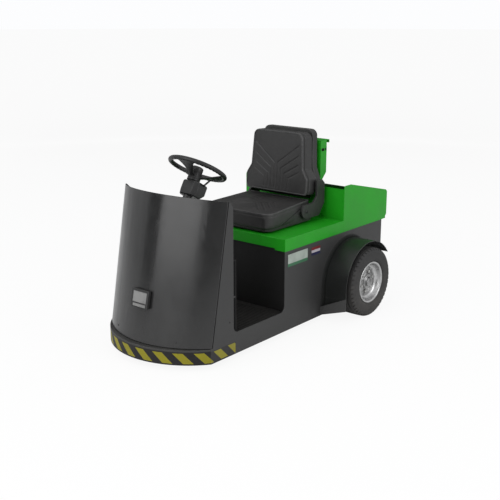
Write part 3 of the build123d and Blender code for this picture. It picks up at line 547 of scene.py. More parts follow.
@dataclass(frozen=True)
class Moulded(Finish):
    """Moulded plastic or rubber with an even grain."""

    grain: float = 0.05
    scale: float = 700.0
    dust: float = 0.06
    dust_reach: float = 0.5
    specular: float = 0.4

    def draw(self, s: Sketch, shader: object, where: bpy.types.NodeSocket) -> None:
        """Grain, tone and a little dust low down."""
        grain = EFFECTS.place(s, Effect.MOULDED, Vector=where, Scale=self.scale)
        colour = self.toned(s, self.colour, grain["Tone"])
        rim = s.attribute("rim")
        worn = EFFECTS.place(s, Effect.WEAR, Vector=where, Rim=rim, Amount=0.25)["Mask"]
        colour = s.blended(worn, colour, tone(96, 96, 96))
        colour, mask = self.dusted(s, where, colour, self.dust_reach, self.dust)
        s.feed(shader["Base Color"], colour)
        rough = s.sums("ADD", grain["Sheen"], self.roughness)
        s.feed(shader["Roughness"], s.sums("ADD", rough, s.sums("MULTIPLY", mask, 0.4)))
        s.feed(shader["Specular IOR Level"], self.specular)
        self.relief(s, shader, grain["Height"], self.grain)


@dataclass(frozen=True)
class Metal(Finish):
    """Bare or plated metal with fine machining grain."""

    grain: float = 0.01
    dust: float = 0.06
    mottle: float = 0.78

    def draw(self, s: Sketch, shader: object, where: bpy.types.NodeSocket) -> None:
        """Polish that changes a little, broad lighter and darker mottles, and fine scratches."""
        grain = EFFECTS.place(s, Effect.MOULDED, Vector=where, Scale=900.0)
        mottles = s.ranged(s.clouds(where, 30.0, 4.0, 0.65), 0.35, 0.7, 1.05, self.mottle)
        colour = self.toned(s, self.colour, mottles)
        colour, mask = self.dusted(s, where, colour, 0.5, self.dust)
        s.feed(shader["Base Color"], colour)
        s.feed(shader["Metallic"], s.sums("SUBTRACT", 1.0, mask))
        rough = s.sums("ADD", grain["Sheen"], self.roughness)
        s.feed(shader["Roughness"], s.sums("ADD", rough, s.sums("MULTIPLY", mask, 0.5)))
        self.relief(s, shader, grain["Height"], self.grain)


@dataclass(frozen=True)
class Banded(Finish):
    """Printed plate: level bands of colour by height, under a clear film."""

    bands: tuple[tuple[float, Colour], ...] = ()

    def draw(self, s: Sketch, shader: object, where: bpy.types.NodeSocket) -> None:
        """Each band's colour holds above its height in metres."""
        up = s.upward(where)
        colour: object = self.colour
        for height, above in self.bands:
            mask = s.sums("GREATER_THAN", up, height)
            colour = s.blended(mask, colour, above)
        film = EFFECTS.place(s, Effect.MOULDED, Vector=where, Scale=500.0)
        colour = self.toned(s, colour, film["Tone"])
        s.feed(shader["Base Color"], colour)
        s.feed(shader["Roughness"], s.sums("ADD", film["Sheen"], self.roughness))
        self.relief(s, shader, film["Height"], 0.01)


GREEN = Paint("green_enamel", (0.0085, 0.27, 0.0065), 0.46, coat=0.03, wear_and_highlight=0.2, dust=0.01,
              bare=tone(96, 128, 92), specular=0.3)
DARK = BandPaint("charcoal_enamel", (0.024, 0.0241, 0.0243), 0.5, coat=0.0, wear_and_highlight=0.2,
                 dust=0.015, end=0.640, black_top=0.105)
SHIELD = Paint("charcoal_shield_enamel", (0.0165, 0.0166, 0.0167), 0.22, coat=0.0, wear_and_highlight=0.18,
               dust=0.01, peel=0.012)
# Lighter than the side panels' charcoal: painted light on the mudguard toe plates.
TOE_LIT = Paint("charcoal_toe_enamel", (0.034, 0.034, 0.0342), 0.5, coat=0.0, wear_and_highlight=0.2, dust=0.03)
SKIRT = BandPaint("striped_skirt_enamel", (0.034, 0.034, 0.033), 0.5, coat=0.0, wear_and_highlight=0.25,
                  dust=0.02, end=2.0, black_top=0.108, specular=0.3)
# The large edge wear amount and light bare tone paint a highlight along the mudguards' rounded
# rims, over their real rubbed edges.
GUARD_LIT_RIM = Paint("black_mudguard_enamel", (0.0075, 0.0085, 0.008), 0.36, coat=0.0, wear_and_highlight=0.7,
              bare=tone(96, 100, 98), dust=0.012)
# The flare darkens towards the mudguard: partly the mudguard's own black, partly painted shade
# where it leaves the side panel.
FLARE_SHADE = FlareShadePaint("mudguard_flare_enamel", (0.024, 0.0241, 0.0243), 0.5, coat=0.0, wear_and_highlight=0.0,
                   dust=0.012, outer=(0.0075, 0.0085, 0.008))
INSIDE = Paint("inner_sheet_enamel", (0.0075, 0.0075, 0.0076), 0.6, coat=0.0, wear_and_highlight=0.0,
               dust=0.02, specular=0.3)
STEEL = Paint("black_chassis_enamel", (0.012, 0.012, 0.0125), 0.5, coat=0.1, wear_and_highlight=0.35, dust=0.12)
VINYL = Vinyl("black_seat_vinyl", (0.0165, 0.0165, 0.017), 0.45)
# Lighter and glossier than the seat vinyl: painted highlight along the welts.
PIPING_HIGHLIT = Vinyl("seat_piping_vinyl", (0.042, 0.042, 0.043), 0.3, scale=800.0)
# Black for seams and beads, and for strips of painted shade in gaps, slots and grooves.
THREAD_AND_SHADE = Moulded("seam_thread_black", (0.005, 0.005, 0.005), 0.8, grain=0.01, dust=0.0,
                 specular=0.1)
# Dark green painted shade for the inside of the bed's rear wall.
SHADED = Moulded("bed_sheet_green", (0.002, 0.05, 0.002), 0.7, grain=0.01, dust=0.0,
                 specular=0.1)
# Dark green painted shade for the gap between the seat cushion and the backrest.
GAP_SHADE = Moulded("seat_apron_dark", (0.005, 0.016, 0.005), 0.8, grain=0.01, dust=0.0,
                specular=0.1)
PLASTIC = Moulded("black_moulded_plastic", (0.0165, 0.0168, 0.017), 0.42)
GRIP = Moulded("wheel_rim_plastic", (0.011, 0.011, 0.0112), 0.4, grain=0.03)
SHELL = Moulded("seat_shell_plastic", (0.021, 0.022, 0.021), 0.48)
TYRE = Moulded("tyre_rubber", (0.030, 0.030, 0.031), 0.72, grain=0.08, scale=420.0, dust=0.12,
               specular=0.25)
MAT = Moulded("floor_mat_rubber", (0.008, 0.008, 0.008), 0.8, grain=0.1, scale=300.0, dust=0.02,
              specular=0.2)
PAD = Moulded("pedal_rubber_black", (0.014, 0.014, 0.014), 0.7, grain=0.08)
CASE = Moulded("battery_polymer", (0.02, 0.021, 0.024), 0.5)
CASTING = Metal("aluminium_casting", (0.36, 0.36, 0.37), 0.5, grain=0.12, dust=0.2)
RIM = Metal("rim_silver_lacquer", (0.52, 0.52, 0.52), 0.34, grain=0.02, dust=0.02)
DISC = Metal("rim_disc_lacquer", (0.38, 0.38, 0.38), 0.36, grain=0.05, dust=0.03, mottle=0.4)
ZINC = Metal("zinc_fastener", (0.45, 0.45, 0.44), 0.4)
BLACKED = Metal("blacked_fastener", (0.05, 0.05, 0.052), 0.45)
LENS = Moulded("lamp_lens_frosted", tone(121, 121, 120), 0.3, grain=0.02, dust=0.0, specular=0.4)
NAME_PLATE = Banded("blank_plate_film", tone(38, 96, 62), 0.35,
                    bands=((0.4325, tone(146, 156, 148)),))
STRIPE_PLATE = Banded("tricolour_plate_film", tone(6, 10, 58), 0.45,
                      bands=((0.4475, tone(158, 154, 160)), (0.4635, tone(96, 3, 12))))


# ------------------------------------------------------------------- mesh helpers
def new_object(name: str, mesh: bmesh.types.BMesh, outward: bool = True) -> bpy.types.Object:
    """Makes an object at the origin from a bmesh.

    Args:
        name: the object's name.
        mesh: its faces; it is freed.
        outward: merge doubles and turn the faces outwards.

    Returns:
        The new object.
    """
    if outward:
        bmesh.ops.remove_doubles(mesh, verts=mesh.verts, dist=1e-6)
        bmesh.ops.recalc_face_normals(mesh, faces=mesh.faces)
    data = bpy.data.meshes.new(name)
    mesh.to_mesh(data)
    mesh.free()
    obj = bpy.data.objects.new(name, data)
    bpy.context.scene.collection.objects.link(obj)
    return obj


def settle(obj: bpy.types.Object) -> bpy.types.Object:
    """Makes what an object's modifiers give its own plain mesh."""
    bpy.context.view_layer.update()
    graph = bpy.context.evaluated_depsgraph_get()
    made = bpy.data.meshes.new_from_object(obj.evaluated_get(graph), depsgraph=graph)
    obj.modifiers.clear()
    old = obj.data
    obj.data = made
    made.name = obj.name
    bpy.data.meshes.remove(old)
    return obj


def smooth(obj: bpy.types.Object, angle: float = 35.0, weighted: bool = False) -> bpy.types.Object:
    """Shades an object smooth, with edges over an angle kept sharp."""
    obj.data.shade_smooth()
    obj.data.set_sharp_from_angle(angle=math.radians(angle))
    if weighted:
        obj.modifiers.new("flat_faces", "WEIGHTED_NORMAL").keep_sharp = True
        settle(obj)
    return obj


def dress(obj: bpy.types.Object, finish: Finish, slot: Slot, body: Body,
          *nodes: str) -> bpy.types.Object:
    """Finishes a piece.

    Args:
        obj: the piece, in place.
        finish: its finish.
        slot: not used.
        body: the body that it rides on.
        *nodes: the CAD nodes that it stands for.

    Returns:
        The piece.
    """
    obj.data.materials.clear()
    obj.data.materials.append(finish.material())
    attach(obj, body.value)
    if nodes:
        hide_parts(*nodes)
    return obj


def rounded_loop(corners: Sequence[tuple[float, float, float]], steps: int = 6) -> Loop:
    """A closed outline with rounded corners.

    Args:
        corners: x, y and radius of each corner, in order.
        steps: spans of each corner's arc.

    Returns:
        Points of the outline, the same number for each corner.
    """
    loop: Loop = []
    count = len(corners)
    for i, (x, y, radius) in enumerate(corners):
        here = Vector((x, y))
        before = (Vector(corners[i - 1][:2]) - here).normalized()
        after = (Vector(corners[(i + 1) % count][:2]) - here).normalized()
        half = before.angle(after) / 2
        run = radius / math.tan(half)
        centre = here + (before + after).normalized() * (radius / math.sin(half))
        start, end = here + before * run - centre, here + after * run - centre
        for k in range(steps + 1):
            t = k / steps
            mixed = start.lerp(end, t)
            loop.append(centre + (mixed.normalized() * radius if radius else mixed))
    return loop


def shrunk(loop: Loop, inset: float) -> Loop:
    """An outline moved inwards; the loop runs counter-clockwise."""
    count = len(loop)
    result = []
    for i in range(count):
        side = (loop[(i + 1) % count] - loop[i - 1]).normalized()
        result.append(loop[i] + Vector((-side.y, side.x)) * inset)
    return result


def loft(name: str, rings: Sequence[Sequence[Vector]], capped: bool = True,
         closed: bool = False) -> bpy.types.Object:
    """Skins rings of points that have the same number of points each.

    Args:
        name: the object's name.
        rings: the rings, in order.
        capped: close the first and the last ring.
        closed: join the last ring to the first.

    Returns:
        The skinned object.
    """
    mesh = bmesh.new()
    rows = [[mesh.verts.new(p) for p in ring] for ring in rings]
    count = len(rows[0])
    pairs = list(zip(rows, rows[1:])) + ([(rows[-1], rows[0])] if closed else [])
    for low, high in pairs:
        for i in range(count):
            j = (i + 1) % count
            mesh.faces.new((low[i], low[j], high[j], high[i]))
    if capped and not closed:
        mesh.faces.new(rows[0][::-1])
        mesh.faces.new(rows[-1])
    return new_object(name, mesh)


def tube(name: str, path: Sequence[Vector], radius: float, closed: bool = False,
         sides: int = 8) -> bpy.types.Object:
    """A round bar along a path, in metres."""
    count = len(path)
    rings = []
    normal = Vector((0.0, 0.0, 1.0))
    for i, point in enumerate(path):
        if closed:
            along = (path[(i + 1) % count] - path[i - 1]).normalized()
        else:
            along = (path[min(i + 1, count - 1)] - path[max(i - 1, 0)]).normalized()
        normal = normal - along * normal.dot(along)
        if normal.length < 1e-4:
            normal = along.orthogonal()
        normal.normalize()
        side = along.cross(normal)
        rings.append([point + (normal * math.cos(a) + side * math.sin(a)) * radius
                      for a in (math.tau * k / sides for k in range(sides))])
    return smooth(loft(name, rings, capped=not closed, closed=closed), 60.0)


def turned(name: str, centre: Vector, profile: Sequence[tuple[float, float]], side: float = 1.0,
           segments: int = 96) -> bpy.types.Object:
    """A form turned round the X axis through a centre.

    Args:
        name: the object's name.
        centre: the axis's point, in metres.
        profile: closed outline as millimetres along X and from the axis.
        side: 1 or -1, which way X runs.
        segments: steps round the axis.

    Returns:
        The turned object; points on the axis close to a pole.
    """
    mesh = bmesh.new()
    columns = []
    for k in range(segments):
        a = math.tau * k / segments
        columns.append([mesh.verts.new(centre + Vector((side * x, r * math.cos(a),
                                                        r * math.sin(a))) * MM)
                        for x, r in profile])
    count = len(profile)
    for here, there in zip(columns, columns[1:] + columns[:1]):
        for i in range(count):
            j = (i + 1) % count
            if profile[i][1] == 0 and profile[j][1] == 0:
                continue
            mesh.faces.new((here[i], here[j], there[j], there[i]))
    bmesh.ops.remove_doubles(mesh, verts=mesh.verts, dist=1e-6)
    bmesh.ops.dissolve_degenerate(mesh, dist=1e-7, edges=mesh.edges)
    return new_object(name, mesh)


def curved(points: Sequence[tuple[float, float]], steps: int = 4) -> list[tuple[float, float]]:
    """Points of a smooth line through the given ones, ends kept."""
    result = []
    last = len(points) - 1
    for i in range(last):
        p0, p1 = Vector(points[max(i - 1, 0)]), Vector(points[i])
        p2, p3 = Vector(points[i + 1]), Vector(points[min(i + 2, last)])
        for k in range(steps):
            t = k / steps
            mixed = 0.5 * (2 * p1 + (p2 - p0) * t + (2 * p0 - 5 * p1 + 4 * p2 - p3) * t**2
                           + (3 * p1 - p0 - 3 * p2 + p3) * t**3)
            result.append((mixed.x, mixed.y))
    return result + [tuple(points[-1])]


def softened(node: str, width: float = 1.2, angle: float = 32.0, segments: int = 2,
             keep: Callable[[Vector], bool] | None = None) -> bpy.types.Object:
    """A CAD node's shape with rounded edges, and the edges marked for wear and, on the mudguards, a
    painted highlight.

    Args:
        node: the CAD node.
        width: the rounding in millimetres.
        angle: edges sharper than this many degrees are rounded.
        segments: faces across each rounding.
        keep: whether the edge that has its middle at a point stays sharp.

    Returns:
        The rounded copy.
    """
    mesh = bmesh.new()
    mesh.from_mesh(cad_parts[node].data)
    bmesh.ops.remove_doubles(mesh, verts=mesh.verts, dist=1e-5)
    bmesh.ops.dissolve_limit(mesh, angle_limit=math.radians(1), verts=mesh.verts,
                             edges=mesh.edges)
    limit = math.radians(angle)
    edges = [e for e in mesh.edges if e.is_manifold and e.calc_face_angle(0) > limit
             and not (keep and keep((e.verts[0].co + e.verts[1].co) / 2))]
    rounded = bmesh.ops.bevel(mesh, geom=edges, offset=width * MM, segments=segments,
                              profile=0.5, affect="EDGES", clamp_overlap=True)["faces"]
    rounded = set(rounded)
    rim = mesh.verts.layers.float.new("rim")
    for vertex in mesh.verts:
        vertex[rim] = float(all(f in rounded for f in vertex.link_faces))
    obj = new_object(f"{node}_skin", mesh, outward=False)
    return smooth(obj, 40.0, weighted=True)


# ------------------------------------------------------------- what repeats
class Pattern(Enum):
    """Geometry Nodes trees for repeated parts."""

    RING = "ring_of_copies"
    ROW = "row_of_copies"
    STUDS = "studs_on_points"


class Repeats:
    """Geometry Nodes that repeat one part round an axis, in a row, or on points."""

    def __init__(self) -> None:
        """Builds each tree."""
        self.trees = {Pattern.RING: self._ring(), Pattern.ROW: self._row(),
                      Pattern.STUDS: self._studs()}

    def _start(self, pattern: Pattern, inputs: dict[str, str]) -> tuple[Sketch, object, object]:
        """Opens a tree whose first input and only output are geometry."""
        tree = bpy.data.node_groups.new(pattern.value, "GeometryNodeTree")
        face = tree.interface
        face.new_socket("Geometry", in_out="INPUT", socket_type="NodeSocketGeometry")
        for name, kind in inputs.items():
            face.new_socket(name, in_out="INPUT", socket_type=f"NodeSocket{kind}")
        face.new_socket("Material", in_out="INPUT", socket_type="NodeSocketMaterial")
        face.new_socket("Geometry", in_out="OUTPUT", socket_type="NodeSocketGeometry")
        sketch = Sketch(tree)
        return sketch, sketch.add("NodeGroupInput").outputs, sketch.add("NodeGroupOutput").inputs

    def _end(self, s: Sketch, instances: object, given: object, end: object) -> bpy.types.NodeTree:
        """Makes the instances real and gives them their material."""
        real = s.add("GeometryNodeRealizeInstances")
        s.feed(real.inputs["Geometry"], instances)
        painted = s.add("GeometryNodeSetMaterial")
        s.feed(painted.inputs["Geometry"], real.outputs["Geometry"])
        s.feed(painted.inputs["Material"], given["Material"])
        s.feed(end["Geometry"], painted.outputs["Geometry"])
        return s.tree

    def _copies(self, s: Sketch, points: object, part: object, turn: object = None) -> object:
        """Copies of a part on points."""
        node = s.add("GeometryNodeInstanceOnPoints")
        s.feed(node.inputs["Points"], points)
        s.feed(node.inputs["Instance"], part)
        if turn is not None:
            s.feed(node.inputs["Rotation"], turn)
        return node.outputs["Instances"]

    def _ring(self) -> bpy.types.NodeTree:
        """Copies turned round the X axis through a centre."""
        s, given, end = self._start(Pattern.RING, {"Count": "Int", "Centre": "Vector"})
        line = s.add("GeometryNodeMeshLine")
        s.feed(line.inputs["Count"], given["Count"])
        s.feed(line.inputs["Start Location"], given["Centre"])
        s.feed(line.inputs["Offset"], (0.0, 0.0, 0.0))
        share = s.sums("DIVIDE", s.add("GeometryNodeInputIndex").outputs["Index"], given["Count"])
        turn = s.add("ShaderNodeCombineXYZ")
        s.feed(turn.inputs["X"], s.sums("MULTIPLY", share, math.tau))
        part = s.add("GeometryNodeGeometryToInstance")
        s.feed(part.inputs["Geometry"], given["Geometry"])
        copies = self._copies(s, line.outputs["Mesh"], part.outputs["Instances"],
                              turn.outputs["Vector"])
        return self._end(s, copies, given, end)

    def _row(self) -> bpy.types.NodeTree:
        """Copies in a straight row."""
        s, given, end = self._start(Pattern.ROW, {"Count": "Int", "Step": "Vector"})
        line = s.add("GeometryNodeMeshLine")
        s.feed(line.inputs["Count"], given["Count"])
        s.feed(line.inputs["Offset"], given["Step"])
        part = s.add("GeometryNodeGeometryToInstance")
        s.feed(part.inputs["Geometry"], given["Geometry"])
        return self._end(s, self._copies(s, line.outputs["Mesh"], part.outputs["Instances"]),
                         given, end)

    def _studs(self) -> bpy.types.NodeTree:
        """Copies of another object on points, facing the points' attribute, each turned anew."""
        s, given, end = self._start(Pattern.STUDS, {"Stud": "Object", "Seed": "Int"})
        facing = s.add("GeometryNodeInputNamedAttribute", data_type="FLOAT_VECTOR")
        s.feed(facing.inputs["Name"], "facing")
        aim = s.add("FunctionNodeAlignRotationToVector", axis="Z")
        s.feed(aim.inputs["Vector"], facing.outputs["Attribute"])
        chance = s.add("FunctionNodeRandomValue", data_type="FLOAT")
        floats = [x for x in chance.inputs if x.enabled]
        s.feed(floats[1], math.tau)
        s.feed(chance.inputs["Seed"], given["Seed"])
        spin = s.add("ShaderNodeCombineXYZ")
        s.feed(spin.inputs["Z"], next(x for x in chance.outputs if x.enabled))
        spun = s.add("FunctionNodeRotateRotation", rotation_space="LOCAL")
        s.feed(spun.inputs[0], aim.outputs[0])
        s.feed(spun.inputs[1], spin.outputs["Vector"])
        stud = s.add("GeometryNodeObjectInfo")
        s.feed(stud.inputs["Object"], given["Stud"])
        copies = self._copies(s, given["Geometry"], stud.outputs["Geometry"], spun.outputs[0])
        return self._end(s, copies, given, end)

    def apply(self, obj: bpy.types.Object, pattern: Pattern, finish: Finish,
              **values: object) -> bpy.types.Object:
        """Repeats an object's mesh and keeps the result as its plain mesh.

        Args:
            obj: the part, or the points, to repeat.
            pattern: which tree.
            finish: the finish set on the copies.
            **values: the tree's inputs by name.

        Returns:
            The same object with its new mesh.
        """
        modifier = obj.modifiers.new(pattern.value, "NODES")
        tree = self.trees[pattern]
        modifier.node_group = tree
        names = {item.name: item.identifier for item in tree.interface.items_tree
                 if item.in_out == "INPUT"}
        for name, value in {**values, "Material": finish.material()}.items():
            modifier[names[name]] = value
        return smooth(settle(obj), 38.0)

    def studs(self, name: str, places: Sequence[tuple[Vector, Vector]], stud: bpy.types.Object,
              finish: Finish, seed: int = 3) -> bpy.types.Object:
        """Copies of a stud at places, each given as a point and the way that it faces."""
        mesh = bmesh.new()
        facing = mesh.verts.layers.float_vector.new("facing")
        for point, way in places:
            mesh.verts.new(point)[facing] = way
        obj = new_object(name, mesh, outward=False)
        self.apply(obj, Pattern.STUDS, finish, Stud=stud, Seed=seed)
        bpy.data.objects.remove(stud)
        return obj


REPEATS = Repeats()


def block(name: str, low: Sequence[float], high: Sequence[float], width: float) -> bpy.types.Object:
    """A block with rounded edges between two corners in metres; width in millimetres."""
    mesh = bmesh.new()
    bmesh.ops.create_cube(mesh, size=1.0)
    low, high = Vector(low), Vector(high)
    for vertex in mesh.verts:
        vertex.co = Vector(low[i] + (vertex.co[i] + 0.5) * (high[i] - low[i]) for i in range(3))
    bmesh.ops.bevel(mesh, geom=mesh.edges[:], offset=width * MM, segments=2, profile=0.5,
                    affect="EDGES", clamp_overlap=True)
    return new_object(name, mesh)


def head(name: str, radius: float, height: float, hexagon: bool = False) -> bpy.types.Object:
    """A screw or bolt head that stands on Z = 0; sizes in millimetres."""
    sides = 6 if hexagon else 16
    if hexagon:
        rows = ((0.0, 1.25), (0.12, 1.25), (0.14, 1.0), (0.9, 1.0), (1.0, 0.86))
    else:
        rows = ((0.0, 1.0), (0.35, 0.98), (0.75, 0.8), (1.0, 0.45), (0.92, 0.42), (0.45, 0.38))
    rings = [[Vector((math.cos(math.tau * k / sides) * r * radius,
                      math.sin(math.tau * k / sides) * r * radius, h * height)) * MM
              for k in range(sides)] for h, r in rows]
    return loft(name, rings)


def bar(name: str, low: Vector, high: Vector, width: float, finish: Finish, count: int,
        step: Vector) -> bpy.types.Object:
    """A row of equal rounded bars."""
    return REPEATS.apply(block(name, low, high, width), Pattern.ROW, finish, Count=count,
                         Step=step)


# ------------------------------------------------------------------ sub-assemblies
@dataclass
class Skin:
    """One CAD node that is dressed as a copy with rounded edges."""

    node: str
    finish: Finish
    slot: Slot
    width: float = 1.2
    body: Body = Body.CHASSIS
    angle: float = 32.0
    segments: int = 2
    keep: Callable[[Vector], bool] | None = None

    def build(self) -> bpy.types.Object:
        """Makes and dresses the copy."""
        obj = softened(self.node, self.width, self.angle, self.segments, self.keep)
        return dress(obj, self.finish, self.slot, self.body, self.node)


@dataclass
class BodyShell:
    """Painted sheet metal: nose, sides, deck, bed and rear panel, with their screws."""

    skirt_radius: float = 468.0
    corner_from_nose: float = 194.8
    corner_along: float = 443.8
    screw_radius: float = 5.0
    screw_height: float = 2.4
    nose_screws: tuple[tuple[float, float], ...] = ((-193.0, 156.0), (229.0, 153.0))
    side_screw: tuple[float, float] = (347.0, 226.0)
    rear_screw_half: float = 330.0
    rear_screw_heights: tuple[float, ...] = (140.0, 320.0, 500.0)
    aim_front: float = -300.0  # screws are aimed at the sheets from outside the tug
    aim_side: float = 900.0
    aim_rear: float = 2300.0
    bead_radius: float = 2.0
    bead_foot: tuple[float, float] = (205.2, 121.0)
    bead_top: tuple[float, float] = (343.1, 879.6)
    foot_sag: float = 170.0
    foot_from_nose: float = 199.0
    # profile of the black fill of painted shade in the gap under the shield's foot
    foot_painted_shade: tuple[tuple[float, float], ...] = (
        (0.6, 117.2), (0.6, 121.4), (6.2, 128.0), (9.0, 128.0), (9.0, 117.2))
    side_rise: float = 6.0
    side_top_least: float = 650.0
    front_wall: tuple[float, float] = (1404.0, 774.0)
    rear_wall: tuple[float, float] = (1888.0, 667.0)
    rear_rise: float = 12.0
    joint_from_nose: float = 1405.0
    # strips of painted shade: from and to across, behind the nose and up
    slot_painted_shade: tuple[tuple[float, float], ...] = ((199.5, 202.6), (1407.0, 1470.0),
                                                     (979.0, 1013.0))
    footwell_seal: tuple[tuple[float, float], ...] = ((373.2, 374.9), (362.0, 408.0),
                                                      (150.0, 566.0))
    # the bed's strips of painted shade, black over dark green, inside its rear wall
    bed_shade_half: float = PANEL_HALF - 2.0
    bed_shade_depth: tuple[float, float] = (1885.4, 1887.3)
    bed_black_shade_low: float = 671.0
    bed_black_shade_high: float = 678.0
    bed_green_shade_low: float = 625.0
    bed_green_shade_high: float = 670.6
    strip_round: float = 0.4

    def build(self) -> None:
        """Builds every sheet."""
        for node, finish, slot, width in (
            ("front_shield", SHIELD, Slot.DARK, 1.4),
            ("front_skirt", SKIRT, Slot.BAND, 2.0),
            ("side_panel_left", DARK, Slot.DARK, 1.2),
            ("side_panel_right", DARK, Slot.DARK, 1.2),
            ("seat_deck", GREEN, Slot.GREEN, 2.2),
            ("load_bed", GREEN, Slot.GREEN, 1.8),
            ("seat_guard", GREEN, Slot.GREEN, 1.0),
            ("rear_panel", SHIELD, Slot.DARK, 1.5),
            ("battery_box_front", INSIDE, Slot.DARK, 1.2),
            ("bulkhead", INSIDE, Slot.DARK, 1.2),
        ):
            obj = Skin(node, finish, slot, width, keep=self.at_joint).build()
            if isinstance(finish, BandPaint):
                self.measure_along(obj)
        self.roll_edges(bpy.data.objects["load_bed_skin"])
        self.strips()
        self.seams()
        self.screws()

    def at_joint(self, middle: Vector) -> bool:
        """Whether an edge lies where the deck's lip meets the bed's side."""
        back = (middle.y - NOSE_Y) / MM
        return (abs(back - self.joint_from_nose) < 0.5 and abs(middle.x) > 0.3835
                and middle.z < 0.6)

    def roll_edges(self, bed: bpy.types.Object) -> None:
        """Stretches the tops of the bed's sides and rear wall a little."""
        for vertex in bed.data.vertices:
            back, across, z = (vertex.co.y - NOSE_Y) / MM, abs(vertex.co.x) / MM, vertex.co.z / MM
            at_front, at_rear = (abs(back - wall) < 8 and abs(z - top) < 4
                                 for wall, top in (self.front_wall, self.rear_wall))
            if at_rear:
                vertex.co.z += self.rear_rise * MM
            elif (across > PANEL_HALF - 1.5 and z > self.side_top_least
                  and not (at_front and across < PANEL_HALF + 2.5)):
                vertex.co.z += self.side_rise * MM

    def side_strips(self, name: str, across: tuple[float, float], back: tuple[float, float],
                    up: tuple[float, float]) -> None:
        """A thin black strip of painted shade on each side.

        Args:
            name: the strips' name, before the side's.
            across: inner and outer distance from the middle, in millimetres.
            back: where they start and end behind the nose.
            up: their lowest and highest place.
        """
        for side, label in SIDES:
            ends = sorted(side * x for x in across)
            obj = block(f"{name}_{label}", spot(ends[0], back[0], up[0]),
                        spot(ends[1], back[1], up[1]), self.strip_round)
            dress(obj, THREAD_AND_SHADE, Slot.PLASTIC, Body.CHASSIS)

    def strips(self) -> None:
        """Painted shade: black strips behind the guard's slots and at the footwell's edge, and a
        black and a dark green strip inside the bed's rear wall.
        """
        self.side_strips("guard_slot_backing", *self.slot_painted_shade)
        half, (front, rear) = self.bed_shade_half, self.bed_shade_depth
        for name, low, high, finish in (
            ("bed_edge_seal", self.bed_black_shade_low, self.bed_black_shade_high, THREAD_AND_SHADE),
            ("bed_rear_sheet", self.bed_green_shade_low, self.bed_green_shade_high, SHADED),
        ):
            obj = block(name, spot(-half, front, low), spot(half, rear, high), self.strip_round)
            dress(obj, finish, Slot.PLASTIC, Body.CHASSIS)
        self.side_strips("footwell_seal", *self.footwell_seal)

    def seams(self) -> None:
        """Black beads down the shield's edges, and a black fill of painted shade in the gap under
        its foot.
        """
        for side, label in SIDES:
            foot, top = (spot(side * PANEL_HALF, *end) for end in (self.bead_foot, self.bead_top))
            path = [foot.lerp(top, k / 12) for k in range(13)]
            obj = tube(f"shield_bead_{label}", path, self.bead_radius * MM)
            dress(obj, THREAD_AND_SHADE, Slot.PLASTIC, Body.CHASSIS)
        radius = (PANEL_HALF**2 + self.foot_sag**2) / (2 * self.foot_sag)
        centre = self.foot_from_nose - self.foot_sag + radius
        reach = math.asin(PANEL_HALF / radius)
        rings = []
        for k in range(61):
            a = reach * (k / 30 - 1)
            rings.append([spot((radius - inset) * math.sin(a),
                               centre - (radius - inset) * math.cos(a), z)
                          for inset, z in self.foot_painted_shade])
        obj = smooth(loft("shield_foot_seal", rings), 40.0)
        dress(obj, THREAD_AND_SHADE, Slot.PLASTIC, Body.CHASSIS)

    def measure_along(self, obj: bpy.types.Object) -> None:
        """Stores the length round the nose, in metres, on a piece's points."""
        mark = obj.data.attributes.new("along", "FLOAT", "POINT")
        radius = self.skirt_radius * MM
        for i, vertex in enumerate(obj.data.vertices):
            x, back = vertex.co.x, vertex.co.y - NOSE_Y
            if back > self.corner_from_nose * MM:
                length = self.corner_along * MM + back - self.corner_from_nose * MM
                mark.data[i].value = math.copysign(length, x)
            else:
                mark.data[i].value = radius * math.atan2(x, radius - back)

    def screws(self) -> None:
        """Sets button-head screws on the nose, the sides and the rear panel."""
        stud = head("button_head", self.screw_radius, self.screw_height)
        back, z = self.side_screw
        shots = [("front_shield", spot(x, self.aim_front, z), Vector((0, 1, 0)))
                 for x, z in self.nose_screws]
        shots += [(f"side_panel_{label}", spot(side * self.aim_side, back, z),
                   Vector((-side, 0, 0))) for side, label in SIDES]
        shots += [("rear_panel", spot(x, self.aim_rear, z), Vector((0, -1, 0)))
                  for x in (-self.rear_screw_half, self.rear_screw_half)
                  for z in self.rear_screw_heights]
        places = []
        for node, start, way in shots:
            skin = BVHTree.FromObject(bpy.data.objects[f"{node}_skin"],
                                      bpy.context.evaluated_depsgraph_get())
            hit, normal, _, _ = skin.ray_cast(start, way)
            if hit:
                places.append((hit, normal))
        obj = REPEATS.studs("panel_screws", places, stud, BLACKED)
        dress(obj, BLACKED, Slot.STEEL, Body.CHASSIS)


